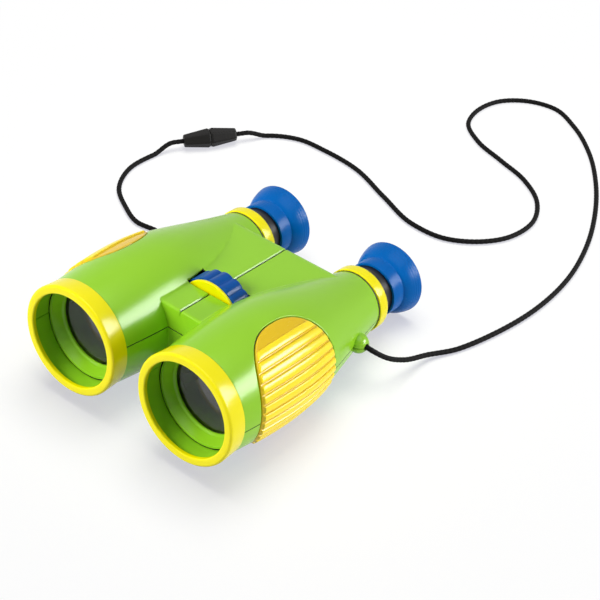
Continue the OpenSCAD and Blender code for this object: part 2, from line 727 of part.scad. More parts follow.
// Focus drive
module wheel_outline() {
    circle(r = wheel_r - lobe_r / 2);
    for (k = [0:lobe_count - 1])
        rotate(360 * k / lobe_count) translate([lobe_circle_r, 0]) circle(r = lobe_r);
}
module focus_wheel() {
    web_from = wheel_y + 3;
    web_to = wheel_y + wheel_w - 3;
    rim_in = lobe_circle_r;
    color("royalblue") lain_down() on_shaft() difference() {
        translate([0, wheel_y, 0]) rotate([-90, 0, 0]) linear_extrude(height = wheel_w) wheel_outline();
        rod_y(shaft_r + seat_gap / 2, wheel_y - 1, wheel_y + wheel_w + 1);
        turned([[collar_r, wheel_y - 1], [rim_in, wheel_y - 1], [rim_in, web_from], [collar_r, web_from]]);
        turned([
            [collar_r, web_to], [rim_in, web_to],
            [rim_in, wheel_y + wheel_w + 1], [collar_r, wheel_y + wheel_w + 1]
        ]);
    }
}
module wheel_disc() {
    bore = shaft_r + seat_gap / 2;
    hub_from = front_bulkhead_y + bulkhead_t + end_play;
    edge = disc_t * 0.8;
    color("yellow") lain_down() on_shaft() turned(concat(
        [[bore, hub_from], [collar_r, hub_from], [collar_r, disc_y]],
        arc([disc_r - edge, disc_y + edge], edge, -90, 0),
        [[disc_r, wheel_y], [bore, wheel_y]]
    ));
}
module focus_screw() {
    collar_from = wheel_y + wheel_w;
    collar_to = rear_bulkhead_y - end_play;
    color("dimgray") lain_down() on_shaft() turned([
        [0, shaft_front], [shaft_r, shaft_front], [shaft_r, collar_from], [collar_r, collar_from],
        [collar_r, collar_to], [shaft_r, collar_to], [shaft_r, screw_start], [screw_r, screw_start],
        [screw_r, screw_end], [0, screw_end]
    ]);
}
module focus_yoke() {
    hold_r = tube_r + 2.2;
    nut_r = screw_r + 3.2;
    bar_half = 4;
    yoke_end = yoke_y + yoke_t;
    color("dimgray") lain_down() difference() {
        union() {
            for (side = [-1, 1])
                on_barrel(side) rod_y(hold_r, yoke_y, yoke_end);
            on_shaft() rod_y(nut_r, yoke_y, yoke_end);
            block([-half_spacing, yoke_y, -bar_half], [half_spacing, yoke_end, bar_half]);
        }
        for (side = [-1, 1])
            on_barrel(side) rod_y(tube_r + seat_gap, yoke_y - 1, yoke_end + 1);
        on_shaft() rod_y(screw_r + run_gap, yoke_y - 1, yoke_end + 1);
    }
}

// Neck cord
module cord_knot(side) {
    color("black") lain_down() mirrored(side) translate([0, lug_y, side_part_z]) difference() {
        translate([knot_x, 0, 0]) rotate([0, 90, 0]) sphere(r = knot_r);
        translate([knot_face_x, -knot_r, -knot_r]) cube(2 * knot_r);
    }
}
function smooth(a, b, c, d, t) =
    0.5 * (2 * b + (c - a) * t + (2 * a - 5 * b + 4 * c - d) * t * t + (3 * b - a - 3 * c + d) * t * t * t);
function route_point(route, i, t) = let (last = len(route) - 1)
    smooth(route[max(i - 1, 0)], route[i], route[i + 1], route[min(i + 2, last)], t);
function rings_along(route) = concat(
    [for (i = [0:len(route) - 2], t = [0, 0.5]) route_point(route, i, t)], [route[len(route) - 1]]
);
module cord(route) {
    path = rings_along(route);
    last = len(path) - 1;
    sides = cord_sides;
    unit = function (v) v / norm(v);
    points = [
        for (i = [0:last])
            let (way = unit(path[min(i + 1, last)] - path[max(i - 1, 0)]))
            let (across = unit(cross(way, [0, 0, 1])))
            let (up = cross(across, way))
            for (k = [0:sides - 1])
                path[i] + cord_r * (cos(360 * k / sides) * across + sin(360 * k / sides) * up)
    ];
    at = function (i, k) i * sides + k % sides;
    quads = [for (i = [0:last - 1], k = [0:sides - 1]) [at(i, k), at(i, k + 1), at(i + 1, k + 1), at(i + 1, k)]];
    near_cap = [for (k = [1:sides - 2]) [0, k + 1, k]];
    far_cap = [for (k = [1:sides - 2]) [at(last, 0), at(last, k), at(last, k + 1)]];
    color("black") polyhedron(points, concat(split_quads(quads), near_cap, far_cap));
}
module long_cord() {
    cord(long_route);
}
module short_cord() {
    cord(short_route);
}
// One half of the clasp: a six-sided taper from its middle to the cord
module clasp_half(turn) {
    translate(clasp_at) rotate([0, 0, clasp_turn + turn]) rotate([0, 90, 0]) rotate([0, 0, 30])
        cylinder(r1 = clasp_mid_r, r2 = clasp_end_r, h = clasp_l / 2, $fn = 6);
}
module clasp_pin(gap) {
    translate(clasp_at) rotate([0, 0, clasp_turn]) rod_x(clasp_pin_r + gap, -clasp_pin_l - gap, clasp_pin_r / 4);
}
module clasp_socket() {
    color("black") difference() {
        clasp_half(180);
        clasp_pin(seat_gap);
    }
}
module clasp_plug() {
    color("black") union() {
        clasp_half(0);
        clasp_pin(0);
    }
}

top_shell();
bottom_shell();
shell_screws();
objective_ring(1);  // left_objective_ring
objective_ring(-1);  // right_objective_ring
lens_collar(1);  // left_lens_collar
lens_collar(-1);  // right_lens_collar
objective_lens(1);  // left_objective_lens
objective_lens(-1);  // right_objective_lens
grip(1);  // left_grip
grip(-1);  // right_grip
rear_ring(1);  // left_rear_ring
rear_ring(-1);  // right_rear_ring
eyepiece_tube(1);  // left_eyepiece_tube
eyepiece_tube(-1);  // right_eyepiece_tube
eyepiece_lens(1);  // left_eyepiece_lens
eyepiece_lens(-1);  // right_eyepiece_lens
eyecup(1);  // left_eyecup
eyecup(-1);  // right_eyecup
focus_wheel();
wheel_disc();
focus_screw();
focus_yoke();
cord_knot(1);  // left_cord_knot
cord_knot(-1);  // right_cord_knot
long_cord();
short_cord();
clasp_socket();
clasp_plug();
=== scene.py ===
"""Toy binoculars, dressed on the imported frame.

Pieces are worked out along the optical axis in millimetres: X across, Y from the objective end to the
eyes, Z up, with Y = 0 at the front of the objective rings and Z = 0 on the barrel axes. lie() then lays
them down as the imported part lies, in metres. Left is the wearer's left, +X.
"""

import json
import math

import bmesh
import bpy
import numpy as np
from mathutils import Matrix


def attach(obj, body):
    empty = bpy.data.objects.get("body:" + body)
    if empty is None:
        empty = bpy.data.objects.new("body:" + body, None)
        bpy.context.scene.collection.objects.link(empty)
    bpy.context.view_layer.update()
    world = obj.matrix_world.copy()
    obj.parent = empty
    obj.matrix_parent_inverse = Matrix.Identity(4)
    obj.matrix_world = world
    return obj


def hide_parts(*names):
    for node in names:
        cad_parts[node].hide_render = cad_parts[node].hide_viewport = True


bl_info = {
    "name": "Toy binoculars",
    "version": (1, 0, 0),
    "blender": (4, 5, 0),
    "location": "3D View > Sidebar > Binoculars",
    "description": "Builds the dressed pieces of a pair of toy binoculars on their packed frame",
    "category": "Add Mesh",
}

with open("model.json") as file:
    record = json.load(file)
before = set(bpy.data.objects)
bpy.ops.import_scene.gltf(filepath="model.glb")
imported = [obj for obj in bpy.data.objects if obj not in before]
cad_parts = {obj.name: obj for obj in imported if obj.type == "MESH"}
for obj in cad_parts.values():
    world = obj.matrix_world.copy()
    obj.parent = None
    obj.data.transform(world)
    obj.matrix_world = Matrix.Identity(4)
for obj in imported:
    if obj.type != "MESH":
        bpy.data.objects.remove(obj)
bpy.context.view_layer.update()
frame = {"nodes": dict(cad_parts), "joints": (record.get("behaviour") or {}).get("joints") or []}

MM = 0.001
TAU = 2 * math.pi
WHEEL_JOINT = next(j for j in frame["joints"] if j["name"] == "wheel_turn")
TILT = math.atan2(-WHEEL_JOINT["axis"][2], WHEEL_JOINT["axis"][1])

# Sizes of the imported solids, in millimetres along the optical axis; a pair of places runs from front to rear
HALF_SPACING = 31.5
BARREL_FRONT = ((24.2, 8.8), (25.37, 19.8), (26.15, 30.0), (26.15, 40.0))  # corners of the outline's curves
BARREL_REAR = ((26.15, 40.0), (26.15, 63.0), (21.4, 71.5), (14.2, 107.5))
SIDE_PART_Z = -2.0  # the parting line on the outer sides; between the barrels it is at the shaft's height
SHAFT_Z = 5.2
BRIDGE = (31.3, 98.8)
BRIDGE_H = 16.2
RING_L = 8.8
SPIGOT = (22.4, 23.7)  # inner and outer radius under the objective ring
WHEEL_Y = (50.8, 60.0)
WHEEL_R = 16.4
WHEEL_MID = (0.0, sum(WHEEL_Y) / 2, SHAFT_Z)
LOBES = 16
LOBE_R = 4.6
SLOT_Y = (48.9, 60.45)
SLOT_HALF = 12.4
SLOT_LIP_Z = 16.45
GRIP_Y = 42.0
GRIP_HALF = (23.7, 74.0)  # half the length, and half the angle in degrees
GRIP_SQUARE = 2.4  # power of the superellipse of its outline
GRIP_DEPTH = 1.2
GRIP_GAP = 0.5
NECK_Y = 107.5
TUBE_R = 11.4
REAR_FACE_Y = 113.8
CUP_Y = 120.2
CUP_FLOOR_Y = 125.2
LUG = (88.0, SIDE_PART_Z)  # distance and height of the cord lugs' middle
LUG_R = 4.4
LUG_BALL_X = 50.308
CORD_HOLE_R = 1.4
SCREWS = ((8.0, 37.2), (8.0, 92.9))  # across and along, on the left; the right has the same two
SCREW_TOP_Z = -15.0
SCREW_HOLE = (3.1, 13.2)  # radius, and depth of the seat under the barrel axes
CORD_R = 1.2
CLASP_AT = (-111.0, 107.0, 4.508)
CLASP_TURN = 234.0
CLASP_HALF = 13.2

SHARP_ANGLE = 32  # degrees over which an edge stays sharp
MERGE_DISTANCE = 2e-7  # metres within which points become one


def tone(red, green, blue):
    """Linear colour of a display colour given from 0 to 255."""
    c = np.array([red, green, blue]) / 255
    linear = np.where(c <= 0.04045, c / 12.92, ((c + 0.055) / 1.055) ** 2.4)
    return tuple(float(v) for v in linear)


def length(name, description, default, low=0.0, high=0.01):
    """A size property in metres."""
    return bpy.props.FloatProperty(
        name=name, description=description, default=default, min=low, max=high, precision=5,
        subtype="DISTANCE", unit="LENGTH",
    )


def colour(name, description, default):
    """A colour property."""
    return bpy.props.FloatVectorProperty(
        name=name, description=description, default=default, size=3, min=0, max=1, subtype="COLOR"
    )


class BinocularSizes(bpy.types.PropertyGroup):
    """Sizes of the dressing that a user may change"""

    fillet: length("Bridge fillet", "Radius of the hollow between bridge and barrel", 0.0022, 0.0005, 0.004)
    bridge_edge: length("Bridge edge", "Radius of the bridge's front and rear edges", 0.0012, 0.0004, 0.002)
    parting_gap: length("Parting gap", "Half the gap between the housing's halves", 0.0002, 0.0, 0.0004)
    groove_depth: length("Groove depth", "Depth of the bevels of the bridge's groove", 0.0005, 0.0, 0.001)
    groove_half: length("Groove half width", "Half the width of that groove", 0.0007, 0.0001, 0.0009)
    groove_slit: length("Groove slit", "Half the width of the slit in that groove", 0.00026, 0.0, 0.0004)
    wall: length("Wall", "Wall of the housing's skin", 0.0008, 0.0006, 0.0018)
    ring_round: length("Ring rounding", "Rounding of a ring's front edge", 0.0012, 0.0002, 0.0018)
    rib_height: length("Rib height", "Height of a grip's ribs", 0.0009, 0.0, 0.0012)
    braid_pitch: length("Braid pitch", "Length of one stitch of the cord's braid", 0.0022, 0.001, 0.005)
    braid_relief: length("Braid relief", "Height of the cord's braid", 0.00008, 0.0, 0.0002)


class BinocularColours(bpy.types.PropertyGroup):
    """Colours of the finishes"""

    housing: colour("Housing", "Green of the two halves and the lens collars", tone(140, 197, 36))
    ring: colour("Rings", "Yellow of the objective rings, rear rings and disc", tone(238, 226, 0))
    grip: colour("Grips", "Yellow of the ribs of the panels", tone(252, 226, 20))
    # Painted shade: deeper gold in the valleys between the grip's ribs; the flat ground beside them gets the
    # same gold
    groove: colour("Grip grounds", "Deeper gold between and beside their ribs", tone(222, 184, 0))
    cup: colour("Eyecups", "Blue of the eyecups", tone(0, 92, 170))
    wheel: colour("Wheel", "Blue of the focus wheel", tone(0, 74, 150))
    tube: colour("Tubes", "Black of the eyepiece tubes, yoke and screw", tone(30, 30, 31))
    cord: colour("Cord", "Black of the cord's yarn", tone(13, 12, 12))
    clasp: colour("Clasp", "Black of the clasp", tone(26, 25, 24))
    # Painted shade: this deep grey stands in for shade. It goes on the housing skin's inner face and the rims
    # of its gaps, the bridge groove's slit, the grip recesses' floors and the flanges in the rear rings' gaps.
    inside: colour("Inside", "Dark of the housing's inside", tone(46, 44, 42))
    steel: colour("Steel", "Grey of the screws", tone(176, 176, 174))
    floor: colour("Floor", "White of the floor", (0.7, 0.7, 0.7))


# Shapes


def lie(points):
    """Row-frame places in metres of points along the optical axis in millimetres.

    The points turn about X by the tilt, and move so that the wheel's middle falls on the wheel's joint.
    """
    x, y, z = np.moveaxis(np.asarray(points, float) - WHEEL_MID, -1, 0)
    c, s = math.cos(TILT), math.sin(TILT)
    return np.stack([x, y * c + z * s, z * c - y * s], -1) * MM + np.array(WHEEL_JOINT["pos_m"])


def bezier(corners, steps):
    """Points of a cubic curve: its four corners weighted by the Bernstein terms at even steps."""
    t = np.linspace(0, 1, steps + 1)[:, None]
    a, b, c, d = (np.asarray(p, float) for p in corners)
    return a * (1 - t) ** 3 + 3 * b * (1 - t) ** 2 * t + 3 * c * (1 - t) * t**2 + d * t**3


BARREL_LINE = np.vstack([bezier(BARREL_FRONT, 300), bezier(BARREL_REAR, 600)[1:]])


def barrel_r(y):
    """Radius of a barrel at distance y: the height of its outline, which is two cubic curves."""
    return np.interp(y, BARREL_LINE[:, 1], BARREL_LINE[:, 0])


def grid(rows, columns, close_rows=False, close_columns=False):
    """Quads of a grid numbered row by row; a closed direction joins its last line to its first."""
    i = np.arange(rows if close_rows else rows - 1)[:, None] * columns
    j = np.arange(columns if close_columns else columns - 1)[None, :]
    i2, j2 = (i + columns) % (rows * columns), (j + 1) % columns
    return np.stack([i + j, i + j2, i2 + j2, i2 + j], -1).reshape(-1, 4)


def spread(a, b, steps):
    """Even steps from a to b along each row, without the first."""
    return a[:, None] + (b - a)[:, None] * np.linspace(0, 1, steps + 1)[None, 1:]


def rounded(corners, steps=7):
    """Closed outline through corners of [radius, distance, rounding].

    Each corner gives way to the arc of its rounding that touches both of its sides.
    """
    corners = np.asarray(corners, float)
    p, rounding = corners[:, :2], corners[:, 2]
    before, after = np.roll(p, 1, 0) - p, np.roll(p, -1, 0) - p
    len_b, len_a = np.linalg.norm(before, axis=1), np.linalg.norm(after, axis=1)
    ub, ua = before / len_b[:, None], after / len_a[:, None]
    half = 0.5 * np.arccos(np.clip((ub * ua).sum(1), -0.999999, 0.999999))
    cut = np.minimum(rounding / np.tan(half), 0.48 * np.minimum(len_b, len_a))
    mid = ub + ua
    mid /= np.linalg.norm(mid, axis=1)[:, None]
    centre = p + mid * (cut / np.cos(half))[:, None]
    from_c, to_c = p + ub * cut[:, None] - centre, p + ua * cut[:, None] - centre
    sweep = (math.pi - 2 * half)[:, None]
    t = np.linspace(0, 1, steps)[None, :]
    w0, w1 = np.sin((1 - t) * sweep) / np.sin(sweep), np.sin(t * sweep) / np.sin(sweep)
    arcs = centre[:, None] + w0[..., None] * from_c[:, None] + w1[..., None] * to_c[:, None]
    return arcs.reshape(-1, 2)


def turned(outline, x=0.0, z=0.0, steps=160):
    """Points and quads of a closed outline of [radius, distance], carried round the line along Y at x, z."""
    a = np.linspace(0, TAU, steps, endpoint=False)[:, None]
    r, y = outline[:, 0][None, :], outline[:, 1][None, :]
    points = np.stack([x + r * np.cos(a), y + 0 * a, z + r * np.sin(a)], -1)
    return points.reshape(-1, 3), grid(steps, len(outline), True, True)


def sector(outline, start, end, steps=80):
    """Points and faces of a closed outline of [radius, distance], carried round Y from one angle to another.

    The angles are in radians and may differ along the outline. The outline itself closes both ends.
    """
    t = np.linspace(0, 1, steps)[:, None]
    a = start + (end - start) * t
    r, y = outline[:, 0][None, :], outline[:, 1][None, :]
    points = np.stack([r * np.cos(a), y + 0 * a, r * np.sin(a)], -1).reshape(-1, 3)
    n = len(outline)
    faces = grid(steps, n, False, True).tolist()
    return points, faces + [list(range(n)), list(range((steps - 1) * n, steps * n))]


def lens_outline(clear_r, edge_r, front, rear, bulge, steps):
    """Outline of a lens: two faces that rise as parabolas over the clear radius, and a flat rim round them.

    A bulge below 0 makes the faces hollow.
    """
    r = np.linspace(0, clear_r, steps)
    rise = bulge * (1 - (r / clear_r) ** 2)
    front_face, rear_face = np.column_stack([r, front - rise]), np.column_stack([r, rear + rise])
    return np.vstack([front_face, [(edge_r, front), (edge_r, rear)], rear_face[::-1]])


def joined(*parts):
    """One list of points and one of faces from several of each."""
    points, faces, base = [], [], 0
    for p, f in parts:
        points.append(np.asarray(p, float))
        faces += [[i + base for i in face] for face in (f.tolist() if hasattr(f, "tolist") else f)]
        base += len(p)
    return np.vstack(points), faces


def mirrored(points, side):
    """Points moved to the other barrel where side is -1."""
    return points * np.array([side, 1, 1])


def named(side):
    """Name of a side: left is +X."""
    return "left" if side > 0 else "right"


def put(
    name, points, faces, finish, body, nodes, slot,
    sharp=SHARP_ANGLE, uv=None, wall=0.0, up=None, finish_of=None,
):
    """A finished mesh piece in the row frame, which rides on a body and stands for CAD nodes.

    Doubles merge and faces turn outwards. A skin with a wall is faced along up first, and then gets its
    thickness inwards, with the next finish on its inner face and rim. Edges sharper than sharp stay sharp.
    """
    mesh = bpy.data.meshes.new(name)
    mesh.from_pydata(points, [], faces)
    if finish_of is not None:
        mesh.polygons.foreach_set("material_index", finish_of)
    if uv is not None:
        mesh.uv_layers.new(name="UVMap").data.foreach_set("uv", uv.astype(np.float32).ravel())
    work = bmesh.new()
    work.from_mesh(mesh)
    bmesh.ops.remove_doubles(work, verts=work.verts, dist=MERGE_DISTANCE)
    bmesh.ops.dissolve_degenerate(work, edges=work.edges, dist=1e-8)
    bmesh.ops.recalc_face_normals(work, faces=work.faces)
    if up is not None:
        top = max(work.verts, key=lambda v: v.co.z * up)
        if sum(f.normal.z for f in top.link_faces) * up < 0:
            bmesh.ops.reverse_faces(work, faces=work.faces)
    work.to_mesh(mesh)
    work.free()
    for f in finish if isinstance(finish, (list, tuple)) else [finish]:
        mesh.materials.append(f)
    obj = bpy.data.objects.new(name, mesh)
    bpy.context.scene.collection.objects.link(obj)
    if wall:
        solidify = obj.modifiers.new("Wall", "SOLIDIFY")
        solidify.thickness, solidify.offset = wall, -1
        solidify.use_quality_normals = True
        solidify.material_offset = solidify.material_offset_rim = 1
        made = bpy.data.meshes.new_from_object(obj.evaluated_get(bpy.context.evaluated_depsgraph_get()))
        obj.modifiers.clear()
        obj.data = made
        bpy.data.meshes.remove(mesh)
        made.name = name
    obj.data.shade_smooth()
    obj.data.set_sharp_from_angle(angle=math.radians(sharp))
    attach(obj, body)
    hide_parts(*nodes)
    return obj


def add_mesh(obj, points, faces, finish=0):
    """More closed surfaces in a finished piece, turned outwards by themselves."""
    extra = bpy.data.meshes.new("extra")
    extra.from_pydata(points, [], faces)
    work = bmesh.new()
    work.from_mesh(extra)
    bmesh.ops.remove_doubles(work, verts=work.verts, dist=MERGE_DISTANCE)
    bmesh.ops.recalc_face_normals(work, faces=work.faces)
    for face in work.faces:
        face.material_index = finish
        face.smooth = True
    work.to_mesh(extra)
    extra.set_sharp_from_angle(angle=math.radians(SHARP_ANGLE))
    work.free()
    work = bmesh.new()
    work.from_mesh(obj.data)
    work.from_mesh(extra)
    work.to_mesh(obj.data)
    work.free()
    bpy.data.meshes.remove(extra)


def refinish(node_name, finish):
    """Gives a CAD node that stays in view a finish of its own."""
    slots = frame["nodes"][node_name].data.materials
    slots.clear()
    slots.append(finish)


# Finishes

VALUE, COLOUR = "NodeSocketFloat", "NodeSocketColor"
SHARED_OUTPUTS = [("Colour", COLOUR), ("Roughness", VALUE), ("Height", VALUE)]


def node_group(name, inputs):
    """A new shader node group with named inputs and the shared outputs: its tree, input and output node."""
    tree = bpy.data.node_groups.new(name, "ShaderNodeTree")
    for label, kind, value in inputs:
        socket = tree.interface.new_socket(label, in_out="INPUT", socket_type=kind)
        socket.default_value = value
    for label, kind in SHARED_OUTPUTS:
        tree.interface.new_socket(label, in_out="OUTPUT", socket_type=kind)
    return tree, tree.nodes.new("NodeGroupInput"), tree.nodes.new("NodeGroupOutput")


def node(tree, kind, links=(), **values):
    """A shader node with its attributes and input values set, and links from (socket, input) pairs."""
    made = tree.nodes.new(kind)
    for key, value in values.items():
        if hasattr(made, key) and key not in made.inputs:
            setattr(made, key, value)
        else:
            made.inputs[key.replace("_", " ")].default_value = value
    for socket, target in links:
        tree.links.new(socket, made.inputs[target])
    return made


def math_node(tree, operation, *terms, clamp=False):
    """Output of a Math node on sockets or numbers."""
    made = tree.nodes.new("ShaderNodeMath")
    made.operation, made.use_clamp = operation, clamp
    for k, term in enumerate(terms):
        if isinstance(term, (int, float)):
            made.inputs[k].default_value = term
        else:
            tree.links.new(term, made.inputs[k])
    return made.outputs[0]


def mix_node(tree, share, a, b):
    """Colour output of a Mix node from colour a to b, each a socket or a colour with its alpha."""
    made = node(tree, "ShaderNodeMix", [(share, "Factor")], data_type="RGBA")
    for key, value in (("A", a), ("B", b)):
        if isinstance(value, bpy.types.NodeSocket):
            tree.links.new(value, made.inputs[key])
        else:
            made.inputs[key].default_value = value
    return made.outputs["Result"]


def noise(tree, place, scale, detail, **values):
    """Value of a noise texture at a place."""
    made = node(tree, "ShaderNodeTexNoise", [(place, "Vector")], Scale=scale, Detail=detail, **values)
    return made.outputs["Fac"]


def scaled(tree, shade, factor):
    """A colour times a value."""
    return node(tree, "ShaderNodeVectorMath", [(shade, 0), (factor, 3)], operation="SCALE").outputs[0]


def moulded_group():
    """Moulded plastic: faint mottling of the pigment, fine rubbed scratches and the mould's soft peel.

    Colour is the given one, lighter and darker by mottle. Roughness is its mean with scratches on top.
    Height is a fine noise for a Bump node.
    """
    found = bpy.data.node_groups.get("moulded plastic")
    if found:
        return found
    tree, given, out = node_group("moulded plastic", [
        ("Colour", COLOUR, (0.5, 0.5, 0.5, 1)),
        ("Mottle", VALUE, 0.05),
        ("Roughness", VALUE, 0.25),
        ("Scratches", VALUE, 0.1),
        ("Peel Scale", VALUE, 700.0),
    ])
    place = tree.nodes.new("ShaderNodeTexCoord").outputs["Object"]
    cloud = math_node(tree, "SUBTRACT", noise(tree, place, 55.0, 4.0, Roughness=0.55), 0.5)
    shift = math_node(tree, "MULTIPLY_ADD", cloud, given.outputs["Mottle"], 1.0)
    tree.links.new(scaled(tree, given.outputs["Colour"], shift), out.inputs["Colour"])
    turn = node(
        tree, "ShaderNodeMapping", [(place, "Vector")],
        Rotation=(0.3, 0.2, 0.7), Scale=(1800.0, 60.0, 900.0),
    )
    lines = noise(tree, turn.outputs[0], 1.0, 3.0, Roughness=0.6)
    fine = math_node(tree, "MULTIPLY", math_node(tree, "SUBTRACT", lines, 0.55, clamp=True), 3.0)
    worn = math_node(tree, "MULTIPLY", fine, noise(tree, place, 130.0, 2.0))
    rough = math_node(tree, "MULTIPLY", worn, given.outputs["Scratches"])
    rough = math_node(tree, "ADD", rough, given.outputs["Roughness"], clamp=True)
    tree.links.new(rough, out.inputs["Roughness"])
    peel_links = [(place, "Vector"), (given.outputs["Peel Scale"], "Scale")]
    peel = node(tree, "ShaderNodeTexNoise", peel_links, Detail=2.0)
    tree.links.new(peel.outputs["Fac"], out.inputs["Height"])
    return tree


def braid_group():
    """Braid of a cord on its UV map, U in stitches along it and V once round it.

    Height is the mean of a wave per stitch and a wave per strand, plus fine slanted yarn lines. Colour is the
    given one times painted shade from that height, darker in the braid's hollows and lighter on its raised
    stitches, and times fuzz. Roughness varies with fuzz.
    """
    found = bpy.data.node_groups.get("cord braid")
    if found:
        return found
    tree, given, out = node_group("cord braid", [
        ("Colour", COLOUR, (0.02, 0.02, 0.02, 1)),
        ("Strands", VALUE, 8.0),
    ])
    uv = tree.nodes.new("ShaderNodeUVMap").outputs["UV"]
    split = node(tree, "ShaderNodeSeparateXYZ", [(uv, 0)])
    along = math_node(tree, "MULTIPLY", split.outputs["X"], TAU)
    strand = math_node(tree, "MULTIPLY", split.outputs["Y"], given.outputs["Strands"])
    about = math_node(tree, "MULTIPLY", strand, TAU)
    waves = math_node(tree, "ADD", math_node(tree, "COSINE", along), math_node(tree, "COSINE", about))
    weave = math_node(tree, "ADD", math_node(tree, "MULTIPLY", waves, 0.25), 0.5, clamp=True)
    slant_u, slant_v = math_node(tree, "MULTIPLY", along, 5.0), math_node(tree, "MULTIPLY", about, 3.0)
    slant = math_node(tree, "ADD", slant_u, slant_v)
    yarn = math_node(tree, "MULTIPLY", math_node(tree, "SINE", slant), 0.12)
    height = math_node(tree, "ADD", weave, yarn)
    fuzz = noise(tree, tree.nodes.new("ShaderNodeTexCoord").outputs["Object"], 2600.0, 2.0)
    # Painted shade and light: darker in the braid's hollows, lighter on its raised stitches, then varied by
    # fuzz
    shade = math_node(tree, "MULTIPLY_ADD", height, 0.9, 0.45)
    shade = math_node(tree, "MULTIPLY", shade, math_node(tree, "ADD", fuzz, 0.5))
    tree.links.new(scaled(tree, given.outputs["Colour"], shade), out.inputs["Colour"])
    tree.links.new(math_node(tree, "MULTIPLY_ADD", fuzz, 0.25, 0.55), out.inputs["Roughness"])
    tree.links.new(height, out.inputs["Height"])
    return tree


def surface(name):
    """A new material with its node tree and its Principled BSDF."""
    made = bpy.data.materials.new(name)
    made.use_nodes = True
    return made, made.node_tree, made.node_tree.nodes["Principled BSDF"]


def grouped(name, effect, bump, depth, values, plain):
    """A material of a name, made once: colour, roughness and bump come from a shared group.

    The group gets its values, and the Principled BSDF those that are the same all over.
    """
    if name in bpy.data.materials:
        return bpy.data.materials[name]
    made, tree, bsdf = surface(name)
    group = tree.nodes.new("ShaderNodeGroup")
    group.node_tree = effect
    for sockets, given in ((group.inputs, values), (bsdf.inputs, plain)):
        for key, value in given.items():
            sockets[key].default_value = value
    tree.links.new(group.outputs["Colour"], bsdf.inputs["Base Color"])
    tree.links.new(group.outputs["Roughness"], bsdf.inputs["Roughness"])
    lift = node(tree, "ShaderNodeBump", [(group.outputs["Height"], "Height")], Strength=bump, Distance=depth)
    tree.links.new(lift.outputs[0], bsdf.inputs["Normal"])
    return made


def plastic(name, shade, roughness=0.22, mottle=0.06, scratches=0.12, bump=0.05, gloss=0.3):
    """Moulded plastic in a colour, with the shared group's mottling, scratches and peel."""
    values = {"Colour": (*shade, 1), "Mottle": mottle, "Roughness": roughness, "Scratches": scratches}
    return grouped(name, moulded_group(), bump, 0.0002, values, {"Specular IOR Level": gloss})


def cord_yarn(name, shade):
    """Braided yarn on the cord's own UV map."""
    return grouped(name, braid_group(), 0.6, 0.0001, {"Colour": (*shade, 1)}, {"Specular IOR Level": 0.1})


def plated_steel(name, shade):
    """Plated steel, with the moulded group's mottling and scratches and a finer peel."""
    values = {
        "Colour": (*shade, 1), "Mottle": 0.2, "Roughness": 0.3, "Scratches": 0.4, "Peel Scale": 3000.0,
    }
    return grouped(name, moulded_group(), 0.15, 0.0001, values, {"Metallic": 1.0})


def lens_glass(name):
    """Clear moulded lens: glass with faint dust in its roughness."""
    if name in bpy.data.materials:
        return bpy.data.materials[name]
    made, tree, bsdf = surface(name)
    dust = noise(tree, tree.nodes.new("ShaderNodeTexCoord").outputs["Object"], 1500.0, 3.0)
    veil = math_node(tree, "MULTIPLY", math_node(tree, "SUBTRACT", dust, 0.55, clamp=True), 0.5)
    tree.links.new(math_node(tree, "ADD", veil, 0.03), bsdf.inputs["Roughness"])
    bsdf.inputs["Base Color"].default_value = (0.93, 0.95, 0.95, 1)
    bsdf.inputs["Transmission Weight"].default_value = 1.0
    bsdf.inputs["IOR"].default_value = 1.49
    return made


def green(context):
    """Green plastic of the housing and the lens collars."""
    return plastic("housing green", context.scene.binocular_colours.housing)


def ring_yellow(context):
    """Yellow plastic of the rings and the wheel's disc."""
    return plastic("ring yellow", context.scene.binocular_colours.ring, roughness=0.2, gloss=0.25)


def black_plastic(context):
    """Black plastic of the eyepiece tubes, the yoke and the focus screw."""
    shade = context.scene.binocular_colours.tube
    return plastic("tube black", shade, roughness=0.3, mottle=0.12, scratches=0.25)


# Stage

CAMERA_TURN = (39.063, 39.743, 1.137)  # azimuth, elevation and roll in degrees
CAMERA_AIM = (0.014124, 0.025568, 0.02)
CAMERA_AWAY = 0.804757
CAMERA_LENS = (112.776, 36.0)  # focal length and sensor in millimetres
AMBIENT = 0.04
WHITE, BLACK = (1, 1, 1, 1), (0, 0, 0, 1)
FLOOR_HALF = 6.0
FLOOR_GLOW = (0.56, 0.56, 0.62, 1)
FLOOR_LIT = (0.4, 0.4, 0.345, 1)
FLOOR_FADE = (0.08, 0.36)  # distances in metres between which the floor turns plain white
# Name, way to it, distance, size, power, whether it lights and whether it is mirrored, and what it falls on
LAMPS = (
    ("overhead_box", (0.1, 0.1, 1.0), 1.5, (1.3, 1.3), 10.0, True, True, "all"),
    ("front_left_box", (-0.52, -0.64, 0.56), 1.5, (0.8, 0.6), 25.0, True, False, "pieces"),
    ("rear_right_box", (1.0, 0.42, 0.26), 1.4, (0.8, 0.6), 15.0, True, False, "pieces"),
    ("reflected_box", (0.76, 0.5, 0.4), 1.2, (0.76, 0.5), 22.0, False, True, "pieces"),
    ("floor_box", (-0.12, 0.22, 1.0), 1.3, (0.9, 0.9), 14.0, True, False, "floor"),
)


def placed(right, up, back, place):
    """Matrix of a camera or lamp with these axes at a place."""
    pose = np.eye(4)
    pose[:3] = np.column_stack([right, up, back, place])
    return Matrix(pose.tolist())


def seen_rays(tree):
    """1 for rays from the camera, in mirrors and through glass, and 0 for light that falls on things."""
    path = tree.nodes.new("ShaderNodeLightPath")
    seen = math_node(tree, "MAXIMUM", path.outputs["Is Camera Ray"], path.outputs["Is Glossy Ray"])
    return math_node(tree, "MAXIMUM", seen, path.outputs["Is Transmission Ray"])


